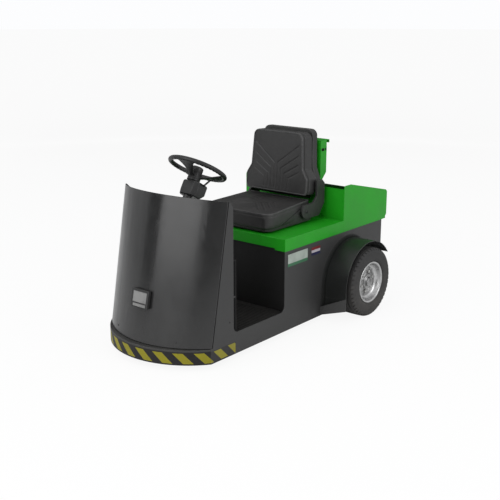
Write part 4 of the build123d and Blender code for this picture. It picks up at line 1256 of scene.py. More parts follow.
@dataclass
class Pad:
    """A foam pad: its faces are filled by simulated pressure, then sewn."""

    coarse: float = 7.0
    fine: float = 3.4
    pressure: float = 4.0
    cap: float = 4.0
    frames: int = 20

    def fill(self, obj: bpy.types.Object, held: Callable[[Vector], bool]) -> None:
        """Remeshes and inflates a closed form.

        Args:
            obj: the form.
            held: whether a point stays where it is.
        """
        rough = obj.copy()
        rough.data = obj.data.copy()
        bpy.context.scene.collection.objects.link(rough)
        self._remesh(obj, self.fine)
        self._remesh(rough, self.coarse)
        start = [v.co.copy() for v in rough.data.vertices]
        self._inflate(rough, held)
        moves = [v.co - before for v, before in zip(rough.data.vertices, start)]
        scale = min(1.0, self.cap * MM / max(m.length for m in moves))
        tree = KDTree(len(start))
        for i, place in enumerate(start):
            tree.insert(place, i)
        tree.balance()
        for vertex in obj.data.vertices:
            near = [(i, 1 / (d + 1e-4)) for _, i, d in tree.find_n(vertex.co, 6)]
            move = sum((moves[i] * weight for i, weight in near), Vector())
            vertex.co += move * (scale / sum(weight for _, weight in near))
        bpy.data.objects.remove(rough)
        obj.modifiers.new("soft", "SMOOTH").iterations = 3
        settle(obj)
        obj.data.shade_smooth()

    def _remesh(self, obj: bpy.types.Object, size: float) -> None:
        """Gives a form even faces of a size in millimetres."""
        remesh = obj.modifiers.new("even_faces", "REMESH")
        remesh.mode, remesh.voxel_size = "VOXEL", size * MM
        settle(obj)

    def _inflate(self, obj: bpy.types.Object, held: Callable[[Vector], bool]) -> None:
        """Runs the cloth with pressure and keeps its last frame."""
        group = obj.vertex_groups.new(name="held")
        group.add([v.index for v in obj.data.vertices if held(v.co)], 1.0, "REPLACE")
        cloth = obj.modifiers.new("fill", "CLOTH")
        settings = cloth.settings
        settings.quality = 4
        settings.mass = 0.3
        settings.tension_stiffness = settings.compression_stiffness = 14
        settings.shear_stiffness = 6
        settings.bending_stiffness = 0.6
        settings.use_pressure = True
        settings.uniform_pressure_force = self.pressure
        settings.effector_weights.gravity = 0
        settings.vertex_group_mass = group.name
        cloth.point_cache.frame_start, cloth.point_cache.frame_end = 1, self.frames
        scene = bpy.context.scene
        for number in range(1, self.frames + 1):
            scene.frame_set(number)
        settle(obj)
        scene.frame_set(1)

    def refit(self, obj: bpy.types.Object, place: Callable[[Vector], Sequence[float]],
              point: Callable[..., Vector], low: Sequence[float], high: Sequence[float]) -> None:
        """Stretches a filled pad to the reach of its foam block.

        Args:
            obj: the pad.
            place: gives a point's three coordinates in the block's own axes.
            point: the reverse.
            low: the block's lowest coordinates.
            high: its highest coordinates.
        """
        places = [place(v.co) for v in obj.data.vertices]
        least = [min(p[i] for p in places) for i in range(3)]
        most = [max(p[i] for p in places) for i in range(3)]
        for vertex, p in zip(obj.data.vertices, places):
            vertex.co = point(*(low[i] + (p[i] - least[i]) * (high[i] - low[i])
                                / (most[i] - least[i]) for i in range(3)))

    def press(self, obj: bpy.types.Object, lift: Callable[[Vector, Vector], float]) -> None:
        """Moves each point along its normal by a height in millimetres."""
        moves = [v.normal * lift(v.co, v.normal) * MM for v in obj.data.vertices]
        for vertex, move in zip(obj.data.vertices, moves):
            vertex.co += move


def groove(distance: float, width: float, depth: float) -> float:
    """Depth of a soft groove at a distance from its middle, in millimetres."""
    return -depth * math.exp(-((distance / width) ** 2))


def channel(across: float, along: float, offset: float, bend: float, slope: float) -> float:
    """Distance from a sewn line that runs straight up to a bend and then splays outwards.

    Args:
        across: distance from the pad's middle.
        along: distance along the line's straight part, growing towards the splay.
        offset: the straight part's distance from the middle.
        bend: where it starts to splay.
        slope: how far it rises for each millimetre outwards.

    Returns:
        The distance in millimetres.
    """
    if along <= bend and across <= offset + 12:
        return abs(across - offset)
    span = math.hypot(1.0, slope)
    splay = abs((along - bend) - slope * (across - offset)) / span
    if across < offset:
        splay = math.hypot(across - offset, along - bend)
    return splay if along > bend - 10 else abs(across - offset)


@dataclass
class Seat:
    """Seat: cushion, folding backrest, moulded pan, shell and arms."""

    pad: Pad = field(default_factory=Pad)
    front: float = 834.0
    rear: float = 1262.0
    half_front: float = 252.0
    half_rear: float = 229.0
    taper_end: float = 920.0
    corner: float = 52.0
    low: float = 610.4
    top_front: float = 702.0
    top_rear: float = 720.0
    back_origin: tuple[float, float, float] = (0.0, 1217.0, 744.0)
    back_lean: float = 3.7
    back_thick: float = 104.0
    seat_grooves: tuple[tuple[float, float], ...] = ((11.0, 1018.0), (36.0, 1042.0),
                                                     (62.0, 1066.0), (90.0, 1088.0))
    back_grooves: tuple[tuple[float, float, float], ...] = (
        (11.0, 178.0, 0.75), (36.0, 146.0, 0.66), (62.0, 115.0, 0.6), (90.0, 90.0, 0.55))
    groove_depth: float = 2.6
    groove_width: float = 4.2
    groove_reach: float = 172.0
    held_edge: float = 26.0
    held_depth: float = 14.0
    held_foot: float = 204.0
    held_top: float = 160.0
    shell_face: float = 106.0
    shell_wider: float = 3.0
    shell_deeper: float = 9.0
    wing_wider: float = 8.0
    wing_low: float = 92.0
    wing_top: float = 154.0
    back_half: float = 232.5
    back_high: float = 371.0
    # where the dark sheet of painted shade hangs behind the backrest pad's foot
    gap_painted_shade_rows: tuple[tuple[float, float], ...] = ((-27.0, 194.0), (-24.0, 197.0), (12.0, 202.0))
    gap_painted_shade_face: float = 93.0
    gap_painted_shade_rear: float = 97.0
    roll_radius: float = 4.6
    piping_radius: float = 2.2
    pivot: tuple[float, float] = (1191.0, 658.0)
    side_seam: tuple[tuple[float, float, float], ...] = ((250.0, 965.0, 617.0),
                                                         (236.0, 1166.0, 681.0))

    def build(self) -> None:
        """Builds the seat from its pan up."""
        Skin("seat_pan", SHELL, Slot.PLASTIC, 2.0).build()
        self.deepen(Skin("backrest_shell", SHELL, Slot.PLASTIC, 5.0, Body.BACKREST, 30.0,
                         4).build())
        Skin("backrest_arms", SHELL, Slot.PLASTIC, 4.0, Body.BACKREST, 30.0, 3).build()
        Skin("seat_rails", STEEL, Slot.STEEL, 1.5).build()
        self.build_cushion()
        self.build_backrest()
        self.gap_painted_shade()
        self.pivots()

    def seat_outline(self) -> Loop:
        """The cushion's plan, counter-clockwise, in millimetres from the nose."""
        f, r, hf, hr = self.front, self.rear, self.half_front, self.half_rear
        return rounded_loop(((-hf, f, self.corner), (hf, f, self.corner),
                             (hf, self.taper_end, 60.0), (hr, r, 12.0), (-hr, r, 12.0),
                             (-hf, self.taper_end, 60.0)))

    def seat_top(self, from_nose: float) -> float:
        """Height of the cushion's edge at a place along the tug."""
        share = (from_nose - self.front) / (self.rear - self.front)
        return self.top_front + (self.top_rear - self.top_front) * share

    def build_cushion(self) -> None:
        """The seat cushion with splayed channels and a welt round its top."""
        outline = self.seat_outline()
        rings = []
        for level, inset in ((0.0, 6.0), (5.0, 1.5), (20.0, 0.0), (-26.0, 0.0), (-14.0, 0.8),
                             (-7.0, 3.5), (-3.0, 9.0), (-2.5, 15.0)):
            ring = []
            for p in shrunk(outline, inset):
                z = self.low + level if level >= 0 else self.seat_top(p.y) + level
                ring.append(spot(p.x, p.y, z))
            rings.append(ring)
        obj = loft("seat_cushion_pad", rings)
        self.pad.fill(obj, self.seat_held)

        def place(co: Vector) -> tuple[float, float, float]:
            """A point across, behind the nose, and up from the sloping top's own plane."""
            back = (co.y - NOSE_Y) / MM
            share = (co.z / MM - self.low) / (self.seat_top(back) - self.low)
            return co.x / MM, back, share

        def point(across: float, back: float, share: float) -> Vector:
            """The reverse of place."""
            return spot(across, back, self.low + share * (self.seat_top(back) - self.low))

        self.pad.refit(obj, place, point, (-self.half_front, self.front, 0.0),
                       (self.half_front, self.rear, 1.0))
        self.pad.press(obj, self.seat_lift)
        self.keep_above(obj, self.low * MM)
        dress(obj, VINYL, Slot.VINYL, Body.CHASSIS, "seat_cushion")
        path = [spot(p.x, p.y, self.seat_top(p.y) - 5) for p in shrunk(outline, 5.0)]
        self.piping("seat_cushion_piping", obj, path, Body.CHASSIS, self.roll_radius, PIPING_HIGHLIT)
        tree = BVHTree.FromObject(obj, bpy.context.evaluated_depsgraph_get())
        for side, label in SIDES:
            low, high = (spot(side * x, y, z) for x, y, z in self.side_seam)
            laid = [tree.find_nearest(low.lerp(high, k / 24))[0] for k in range(25)]
            seam = tube(f"seat_side_seam_{label}", laid, 1.3 * MM)
            dress(seam, THREAD_AND_SHADE, Slot.VINYL, Body.CHASSIS)

    def seat_held(self, co: Vector) -> bool:
        """Whether a point of the cushion stays: all but the middle of its top."""
        x, back = abs(co.x) / MM, (co.y - NOSE_Y) / MM
        half = self.half_front + (self.half_rear - self.half_front) * max(
            0.0, (back - self.taper_end) / (self.rear - self.taper_end))
        edge = self.held_edge
        return not (co.z / MM > self.seat_top(back) - self.held_depth and x < half - edge
                    and self.front + edge < back < self.rear - edge)

    def back_held(self, co: Vector) -> bool:
        """Whether a point of the backrest stays: all but the middle of its face."""
        across, up, deep = self.back_place(co)
        share = min(1.0, max(0.0, (up - self.wing_low) / (self.wing_top - self.wing_low)))
        half = self.held_foot + (self.held_top - self.held_foot) * share
        return not (deep < self.held_depth and abs(across) < half
                    and 24 < up < self.back_high - 24)

    def seat_lift(self, co: Vector, normal: Vector) -> float:
        """Height added to the cushion at a point: channels, crown and side tuck."""
        x, back = abs(co.x) / MM, (co.y - NOSE_Y) / MM
        if normal.z > 0.6 and x < self.groove_reach:
            fade = min(1.0, (self.groove_reach - x) / 20) * min(1.0, max(0.0, (back - 880) / 16))
            deep = 0.0
            for offset, bend in self.seat_grooves:
                d = channel(x, bend - back, offset, 0.0, 1.0)
                deep = min(deep, groove(d, self.groove_width, self.groove_depth))
            return deep * fade
        if abs(normal.z) < 0.5:
            z = co.z / MM
            return groove(z - (self.seat_top(back) - 19), 4.0, 2.2)
        return 0.0

    def keep_above(self, obj: bpy.types.Object, low: float) -> None:
        """Lays what sank below a height flat on it."""
        for vertex in obj.data.vertices:
            vertex.co.z = max(vertex.co.z, low)

    def back_point(self, across: float, up: float, deep: float) -> Vector:
        """A point of the backrest: across, up its face and into it, in millimetres."""
        lean = math.radians(self.back_lean)
        x, back, z = self.back_origin
        return spot(x + across, back + up * math.sin(lean) + deep * math.cos(lean),
                    z + up * math.cos(lean) - deep * math.sin(lean))

    def back_place(self, co: Vector) -> tuple[float, float, float]:
        """The reverse of back_point."""
        lean = math.radians(self.back_lean)
        offset = (co - spot(*self.back_origin)) / MM
        return (offset.x, offset.y * math.sin(lean) + offset.z * math.cos(lean),
                offset.y * math.cos(lean) - offset.z * math.sin(lean))

    def deepen(self, shell: bpy.types.Object) -> None:
        """Carries the shell's rear a little further back and out, and its wings wider."""
        for vertex in shell.data.vertices:
            across, up, deep = self.back_place(vertex.co)
            share = min(1.0, max(0.0, (deep - self.shell_face) / 20))
            wing = min(1.0, max(0.0, (self.wing_top - up) / 56)) * min(1.0, abs(across) / 200)
            wider = self.shell_wider * share + self.wing_wider * wing
            vertex.co = self.back_point(across + math.copysign(wider, across), up,
                                        deep + self.shell_deeper * share)

    def gap_painted_shade(self) -> None:
        """A dark sheet of painted shade that hangs from the shell behind the pad's foot, darkening
        the gap over the seat.
        """
        face, rear = self.gap_painted_shade_face, self.gap_painted_shade_rear
        rings = [[self.back_point(x, up, deep) for x, deep in (
            (-half, face), (half, face), (half, rear), (-half, rear))]
                 for up, half in self.gap_painted_shade_rows]
        dress(loft("backrest_apron", rings), GAP_SHADE, Slot.PLASTIC, Body.BACKREST)

    def back_outline(self) -> Loop:
        """The backrest's face, counter-clockwise, in millimetres across and up."""
        right = ((223.0, 0.0, 9.0), (232.0, 26.0, 12.0), (232.0, 98.0, 15.0),
                 (197.0, self.wing_top, 22.0), (184.0, self.back_high, 38.0))
        left = tuple((-x, y, r) for x, y, r in reversed(right))
        return rounded_loop(right + left)

    def build_backrest(self) -> None:
        """The backrest pad with channels that open into chevrons."""
        outline = self.back_outline()
        rings = []
        for deep, inset in ((0.5, 15.0), (1.2, 9.0), (3.5, 4.0), (8.0, 1.0), (15.0, 0.0),
                            (60.0, 0.0), (94.0, 0.0), (100.0, 2.0), (103.0, 7.0)):
            rings.append([self.back_point(p.x, p.y, deep) for p in shrunk(outline, inset)])
        obj = loft("backrest_pad", rings)
        self.pad.fill(obj, self.back_held)
        self.pad.refit(obj, self.back_place, self.back_point, (-self.back_half, 0.0, 0.0),
                       (self.back_half, self.back_high, self.back_thick - 0.5))
        self.pad.press(obj, self.back_lift)
        for vertex in obj.data.vertices:
            across, up, deep = self.back_place(vertex.co)
            if deep > self.back_thick - 0.5:
                vertex.co = self.back_point(across, up, self.back_thick - 0.5)
        dress(obj, VINYL, Slot.VINYL, Body.BACKREST, "backrest_cushion")
        # The black line at the groove's bottom is partly the seam itself and partly painted shade
        # in the groove.
        for name, deep, inset, radius, finish in (
            ("backrest_seam", 28.0, 6.0, self.piping_radius, THREAD_AND_SHADE),
            ("backrest_piping", 4.0, 4.0, self.roll_radius, PIPING_HIGHLIT),
        ):
            path = [self.back_point(p.x, p.y, deep) for p in shrunk(outline, inset)]
            self.piping(name, obj, path, Body.BACKREST, radius, finish)

    def back_lift(self, co: Vector, normal: Vector) -> float:
        """Height added to the backrest pad at a point."""
        across, up, deep = self.back_place(co)
        across = abs(across)
        if deep < 20 and normal.y < -0.6 and across < self.groove_reach:
            fade = (min(1.0, max(0.0, (self.groove_reach - across) / 14))
                    * min(1.0, max(0.0, (352 - up) / 20)))
            low = 0.0
            for offset, bend, slope in self.back_grooves:
                d = channel(across, up, offset, bend, slope)
                low = min(low, groove(d, self.groove_width, self.groove_depth))
            return low * fade * min(1.0, max(0.0, (up - 14) / 16))
        if 14 <= deep < 60 and abs(normal.y) < 0.8:
            return groove(deep - 28, 5.5, 7.0)
        return 0.0

    def piping(self, name: str, pad: bpy.types.Object, path: Loop, body: Body, radius: float,
               finish: Finish) -> None:
        """Lays a welt of a radius in millimetres on the pad along a closed path."""
        tree = BVHTree.FromObject(pad, bpy.context.evaluated_depsgraph_get())
        laid = []
        for i, point in enumerate(path):
            for k in range(3):
                mixed = point.lerp(path[(i + 1) % len(path)], k / 3)
                laid.append(tree.find_nearest(mixed)[0])
        laid = [sum((laid[(i + k) % len(laid)] for k in (-2, -1, 0, 1, 2)), Vector()) / 5
                for i in range(len(laid))]
        thin = [p for i, p in enumerate(laid) if (p - laid[i - 1]).length > 1e-4]
        obj = tube(name, thin, radius * MM, closed=True)
        dress(obj, finish, Slot.VINYL, body)

    def pivots(self) -> None:
        """Bolt heads on the arms' pivots."""
        stud = head("pivot_head", 9.0, 6.0)
        low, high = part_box("backrest_arms")
        places = [(Vector((x, *spot(0, *self.pivot)[1:])), Vector((side, 0, 0)))
                  for x, side in ((high.x, 1), (low.x, -1))]
        obj = REPEATS.studs("backrest_pivot_caps", places, stud, BLACKED)
        dress(obj, BLACKED, Slot.PLASTIC, Body.BACKREST)


@dataclass
class Steering:
    """Steering wheel, column, cover and lever."""

    centre: tuple[float, float, float] = (0.0, 523.0, 981.5)
    tilt: float = 31.0
    ring_radius: float = 156.6
    tube_radius: float = 13.0
    grips: int = 40
    grip_depth: float = 1.8
    spokes: tuple[float, ...] = (-78.0, 40.0, 156.0)

    def build(self) -> None:
        """Builds the wheel and what holds it."""
        Skin("steering_column", PLASTIC, Slot.PLASTIC, 2.0).build()
        self.cover()
        Skin("indicator_lever", PLASTIC, Slot.PLASTIC, 1.5).build()
        self.build_wheel()

    def point(self, radius: float, angle: float, rise: float) -> Vector:
        """A point of the wheel by radius, angle in degrees and height over its plane."""
        a = math.radians(angle)
        return self.at(radius * math.cos(a), radius * math.sin(a), rise)

    def cover(self) -> None:
        """The column's cover: a faceted box whose foot draws in towards the driver."""
        rings = []
        for rise, front, rear, half, cut in ((-160, -26, 50, 48, 16), (-154, -30, 58, 54, 18),
                                             (-128, -30, 82, 62, 22), (-84, -30, 82, 62, 22),
                                             (-77, -27, 79, 59, 22), (-75, -22, 74, 54, 21)):
            plan = rounded_loop(((-half, front + cut, 5), (-half + cut, front, 5),
                                 (half - cut, front, 5), (half, front + cut, 5),
                                 (half, rear - cut, 5), (half - cut, rear, 5),
                                 (-half + cut, rear, 5), (-half, rear - cut, 5)), 3)
            rings.append([self.at(p.x, p.y, rise) for p in plan])
        obj = smooth(loft("column_cover_shell", rings), 24.0)
        dress(obj, PLASTIC, Slot.PLASTIC, Body.CHASSIS, "column_cover")

    def at(self, across: float, back: float, rise: float) -> Vector:
        """A point in the wheel's own axes: across, towards the driver, and along the column."""
        tilt = math.radians(self.tilt)
        x, y, z = self.centre
        return spot(x + across, y + back * math.cos(tilt) + rise * math.sin(tilt),
                    z - back * math.sin(tilt) + rise * math.cos(tilt))

    def build_wheel(self) -> None:
        """A grip ring with finger notches, dished spokes and a hub."""
        rings = []
        steps = self.grips * 8
        for k in range(steps):
            turn = 360 * k / steps
            ring = []
            for j in range(14):
                phi = math.tau * j / 14
                below = max(0.0, math.cos(phi - math.radians(225)))
                notch = self.grip_depth * below * (0.5 + 0.5 * math.cos(math.radians(turn)
                                                                        * self.grips))
                r = self.tube_radius - notch
                ring.append(self.point(self.ring_radius + r * math.cos(phi), turn,
                                       r * math.sin(phi)))
            rings.append(ring)
        ring_obj = smooth(loft("steering_wheel_ring", rings, closed=True), 60.0)
        dress(ring_obj, GRIP, Slot.PLASTIC, Body.STEERING, "steering_wheel")
        for number, angle in enumerate(self.spokes):
            self.spoke(number, angle)
        self.hub()

    def spoke(self, number: int, angle: float) -> None:
        """A tapered spoke that drops from the ring to the hub."""
        rings = []
        for radius, half, thick, rise in ((20, 17, 12, -47), (34, 16, 11, -45), (60, 15, 9, -36),
                                          (90, 24, 8, -24), (115, 36, 8, -14), (135, 49, 8, -7),
                                          (149, 60, 9, -2)):
            ring = []
            for u, w in rounded_loop(((-half, -thick / 2, 3.5), (half, -thick / 2, 3.5),
                                      (half, thick / 2, 3.5), (-half, thick / 2, 3.5)), 3):
                middle = self.point(radius, angle, rise + w)
                side = self.point(1.0, angle + 90, 0.0) - self.point(0.0, 0.0, 0.0)
                ring.append(middle + side * u)
            rings.append(ring)
        obj = smooth(loft(f"steering_wheel_spoke_{number + 1}", rings), 50.0)
        dress(obj, GRIP, Slot.PLASTIC, Body.STEERING, "steering_wheel")

    def hub(self) -> None:
        """The hub's cup and its round cap."""
        rows = ((-73, 34), (-71, 37), (-50, 36), (-40, 31), (-24, 33), (-8, 34), (2, 33.5), (7, 31),
                (9.5, 26), (10, 20), (9.2, 18.5), (10.5, 17), (11.5, 10), (11.8, 0.5))
        rings = [[self.point(r, 360 * k / 40, h) for k in range(40)] for h, r in rows]
        obj = smooth(loft("steering_wheel_hub", rings), 42.0)
        dress(obj, GRIP, Slot.PLASTIC, Body.STEERING, "steering_wheel")


@dataclass
class RearWheel:
    """One rear wheel: ribbed tyre, dished silver rim, nuts and hub cap."""

    side: int
    body: Body
    label: str
    radius: float = 214.0
    centre_x: float = 493.0
    from_nose: float = 1459.0
    blocks: int = 46
    nuts: int = 6
    nut_circle: float = 62.0

    @property
    def centre(self) -> Vector:
        """The wheel's centre in the frame."""
        return spot(self.side * self.centre_x, self.from_nose, self.radius)

    def build(self) -> None:
        """Builds tyre, tread, rim and nuts."""
        self.tyre()
        self.rim()

    def tyre(self) -> None:
        """Carcass with ribs and shoulder blocks."""
        wall = curved(((117.0, 55), (124, 57), (128.6, 60.5), (131.5, 66), (137, 71), (148, 74.2),
                       (166, 75), (184, 73.6), (197, 69.5), (203.5, 62)), 3)
        outer = [(x, r) for r, x in wall]
        tread = [(57, 206), (54.5, 206.5), (54.5, 212.8), (34, 213.6), (34, 207.2), (29, 207.2),
                 (29, 213.8), (11.5, 214), (11.5, 207.4), (6.5, 207.4), (6.5, 214)]
        half = outer + tread
        profile = half + [(-x, r) for x, r in reversed(half)]
        obj = turned(f"rear_tyre_{self.label}_carcass", self.centre, profile, self.side, 120)
        smooth(obj, 34.0)
        dress(obj, TYRE, Slot.TYRE, self.body, f"rear_tyre_{self.label}")
        for end in (-1, 1):
            part = self.shoulder_block(end)
            REPEATS.apply(part, Pattern.RING, TYRE, Count=self.blocks, Centre=self.centre)
            dress(part, TYRE, Slot.TYRE, self.body)
        for end in (-1, 1):
            part = self.bead_ring(end)
            dress(part, TYRE, Slot.TYRE, self.body)

    def bead_ring(self, end: int) -> bpy.types.Object:
        """Raised rings on a sidewall."""
        x = end * 74.2
        face = [(x, 178), (x + end * 0.75, 179), (x + end * 0.75, 181), (x - end * 0.2, 182),
                (x - end * 3, 180)]
        return smooth(turned(f"rear_tyre_{self.label}_ring_{'inner' if end < 0 else 'outer'}",
                             self.centre, face, self.side, 96), 40.0)

    def shoulder_block(self, end: int) -> bpy.types.Object:
        """One tread block on a shoulder, relative to the wheel's centre."""
        half = math.tau * self.radius / self.blocks * 0.33
        skew = 4.0 * end
        rings = []
        for x, low, high, shift in ((56.5, 203.0, 212.0, 0.0), (63.5, 198.0, 209.0, 0.6),
                                    (68.0, 194.0, 203.5, 1.0), (69.6, 191.0, 197.0, 1.2)):
            rings.append([Vector((self.side * end * x, skew * shift + t * half, r)) * MM
                          for t, r in ((-1, low), (-1, high), (1, high), (1, low))])
        return loft(f"rear_tyre_{self.label}_blocks_{'inner' if end < 0 else 'outer'}", rings)

    def rim(self) -> None:
        """Dished rim with a wide bright lip, nuts and a hub cap."""
        lip = curved(((59, 117.5), (63, 123), (64, 127.4), (66, 128), (67.5, 125.5), (67.2, 121),
                      (64, 116.5), (55, 113), (45, 109), (37, 104), (32, 98), (30, 91)), 3)
        back = [(18, 91), (18, 104), (-40, 108), (-56, 114), (-66, 122), (-67, 126), (-64, 128),
                (-60, 117.5)]
        obj = turned(f"rear_rim_{self.label}_barrel", self.centre, lip + back, self.side, 96)
        smooth(obj, 34.0)
        dress(obj, RIM, Slot.RIM, self.body, f"rear_rim_{self.label}")
        dish = curved(((30.4, 92), (28.6, 84), (29.5, 76), (31, 66), (32, 56), (36, 49),
                       (43, 46), (46, 43)), 3)
        hub = [(47, 40), (47, 33), (49, 31), (57, 30), (60, 28.5), (61, 26), (61.4, 12),
               (61.5, 0)]
        face = [(14, 0), (14, 60), (17, 92)]
        obj = turned(f"rear_rim_{self.label}_disc", self.centre, dish + hub + face, self.side, 96)
        smooth(obj, 30.0)
        dress(obj, DISC, Slot.RIM, self.body, f"rear_rim_{self.label}")
        stud = head(f"wheel_nut_{self.label}", 9.5, 12.0, hexagon=True)
        way = Vector((self.side, 0, 0))
        places = []
        for k in range(self.nuts):
            a = math.tau * (k + 0.25) / self.nuts
            places.append((self.centre + Vector((self.side * 30.6, self.nut_circle * math.cos(a),
                                                 self.nut_circle * math.sin(a))) * MM, way))
        nuts = REPEATS.studs(f"rear_rim_{self.label}_nuts", places, stud, ZINC, 5)
        dress(nuts, ZINC, Slot.RIM, self.body)


@dataclass
class FrontWheel:
    """Steered front wheel in its fork."""

    from_nose: float = 225.0
    radius: float = 158.0

    def build(self) -> None:
        """Builds tyre, rim, fork and axle."""
        centre = spot(0.0, self.from_nose, self.radius)
        wall = curved(((93, 42), (100, 45), (112, 47), (128, 47.5), (142, 45), (150, 39)), 3)
        half = [(x, r) for r, x in wall] + [(34, 152.5), (32, 152.8), (32, 157.4), (17, 158),
                                            (17, 153.5), (13, 153.5), (13, 158)]
        profile = half + [(-x, r) for x, r in reversed(half)]
        tyre = smooth(turned("front_tyre_carcass", centre, profile, 1.0, 96), 34.0)
        dress(tyre, TYRE, Slot.TYRE, Body.FRONT_WHEEL, "front_tyre")
        Skin("front_rim", RIM, Slot.RIM, 1.5, Body.FRONT_WHEEL).build()
        Skin("front_fork", STEEL, Slot.STEEL, 2.0, Body.FORK).build()
        Skin("front_axle", ZINC, Slot.STEEL, 1.0, Body.FORK).build()


@dataclass
class Fittings:
    """Mudguards, lamp, plates, floor, pedals, hitch and chassis parts."""

    guard_from_nose: float = 1459.0
    guard_height: float = 214.0
    guard_radius: float = 254.0
    guard_rear_angle: float = 36.0
    guard_foot: tuple[float, float, float] = (1205.0, 88.0, 150.0)
    flare_radius: float = 20.0
    toe_inner: float = 1178.0
    toe_outer: float = 1204.6
    toe_reach: float = 547.0
    plate_split: float = 1080.0
    stripe_stretch: float = 1.26
    stripe_middle: float = 455.0
    stripe_lift: float = 1.0
    hitch_height: float = 300.0
    hitch_bolt_half: float = 75.0
    hitch_plate: float = 12.0
    rib_margin: float = 20.0
    rib_pitch: float = 20.0
    rib_width: float = 9.0

    def build(self) -> None:
        """Builds every fitting."""
        for side, label in SIDES:
            Skin(f"mudguard_{label}", GUARD_LIT_RIM, Slot.MUDGUARD, 0.9).build()
            self.flare(side, label)
            self.toe(side, label)
        Skin("mudguard_toes", GUARD_LIT_RIM, Slot.MUDGUARD, 0.9).build()
        Skin("headlamp_housing", PLASTIC, Slot.PLASTIC, 1.6, segments=3).build()
        Skin("headlamp_lens", LENS, Slot.LENS, 0.8).build()
        Skin("side_plates", NAME_PLATE, Slot.PLATE, 0.4).build()
        self.plates()
        self.floor()
        for node, finish, slot, width in (
            ("pedals", PAD, Slot.PEDAL, 1.5), ("tow_hitch", STEEL, Slot.STEEL, 2.0),
            ("chassis_frame", STEEL, Slot.STEEL, 2.0), ("rear_axle", STEEL, Slot.STEEL, 2.0),
            ("axle_mounts", STEEL, Slot.STEEL, 1.5), ("steering_carrier", STEEL, Slot.STEEL, 1.5),
            ("steering_gearbox", CASTING, Slot.CASTING, 3.0),
            ("drive_motor", CASTING, Slot.CASTING, 3.0), ("battery", CASE, Slot.BATTERY, 4.0),
        ):
            Skin(node, finish, slot, width).build()
        Skin("tow_pin", ZINC, Slot.STEEL, 1.2, Body.TOW_PIN).build()
        self.bolts()

    def flare(self, side: int, label: str) -> None:
        """A hollow rounding where a mudguard leaves the side panel; its paint darkens towards the
        mudguard, partly as painted shade.
        """
        foot, *heights = self.guard_foot
        stations = [(foot, z, -1.0, 0.0) for z in heights]
        for k in range(49):
            a = math.radians(180 - (180 - self.guard_rear_angle) * k / 48)
            stations.append((self.guard_from_nose + self.guard_radius * math.cos(a),
                             self.guard_height + self.guard_radius * math.sin(a),
                             math.cos(a), math.sin(a)))
        wide = self.flare_radius
        profile = [(wide * (1 - math.cos(t)), wide * (1 - math.sin(t)))
                   for t in (math.pi / 2 * k / 10 for k in range(11))]
        profile += [(wide, -0.6), (-0.6, -0.6), (-0.6, wide)]
        rings = [[spot(side * (PANEL_HALF + out), back + way_y * off, z + way_z * off)
                  for out, off in profile] for back, z, way_y, way_z in stations]
        obj = smooth(loft(f"mudguard_flare_{label}", rings), 40.0)
        mark = obj.data.attributes.new("across", "FLOAT", "POINT")
        shares = [min(1.0, max(0.0, 1 - off / wide)) ** 0.6 for _, off in profile]
        mark.data.foreach_set("value", shares * len(stations))
        dress(obj, FLARE_SHADE, Slot.MUDGUARD, Body.CHASSIS)

    def toe(self, side: int, label: str) -> None:
        """The plate that closes a mudguard's foot, swept forward to the panel; its paint is lighter
        than the panel's as painted light.
        """
        panel = PANEL_HALF + 0.2
        rings = []
        for thick in (0.0, -2.0):
            rings.append([spot(side * x, back + thick, z) for x, back, z in (
                (panel, self.toe_inner, 40.0), (self.toe_reach, self.toe_outer, 88.0),
                (self.toe_reach, self.toe_outer, 166.0), (panel, self.toe_inner, 92.0))])
        obj = loft(f"mudguard_toe_cover_{label}", rings)
        dress(obj, TOE_LIT, Slot.MUDGUARD, Body.CHASSIS)

    def plates(self) -> None:
        """Gives the shorter plates their three bands."""
        obj = bpy.data.objects["side_plates_skin"]
        obj.data.materials.append(STRIPE_PLATE.material())
        for polygon in obj.data.polygons:
            if (polygon.center.y - NOSE_Y) / MM > self.plate_split:
                polygon.material_index = 1
        for vertex in obj.data.vertices:
            if (vertex.co.y - NOSE_Y) / MM > self.plate_split:
                over = vertex.co.z / MM - self.stripe_middle
                vertex.co.z = (self.stripe_middle + self.stripe_lift
                               + over * self.stripe_stretch) * MM

    def floor(self) -> None:
        """Floor plate with a ribbed mat."""
        Skin("floor_plate", MAT, Slot.FLOOR, 1.2).build()
        low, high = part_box("floor_plate")
        margin, pitch = self.rib_margin * MM, self.rib_pitch * MM
        rib = bar("floor_mat_ribs", Vector((low.x + margin, low.y + margin, high.z - 0.001)),
                  Vector((high.x - margin, low.y + margin + self.rib_width * MM,
                          high.z + 0.0022)), 0.8, MAT,
                  int((high.y - low.y - 2 * margin) / pitch), Vector((0, pitch, 0)))
        dress(rib, MAT, Slot.FLOOR, Body.CHASSIS)

    def bolts(self) -> None:
        """Hexagon bolts on the coupling plate."""
        stud = head("coupling_bolt", 11.0, 9.0, hexagon=True)
        plate_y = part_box("rear_panel")[1].y + self.hitch_plate * MM
        half = self.hitch_bolt_half
        places = [(Vector((x * MM, plate_y, (self.hitch_height + z) * MM)), Vector((0, 1, 0)))
                  for x in (-half, half) for z in (-half, half)]
        obj = REPEATS.studs("coupling_plate_bolts", places, stud, ZINC, 9)
        dress(obj, ZINC, Slot.STEEL, Body.CHASSIS)


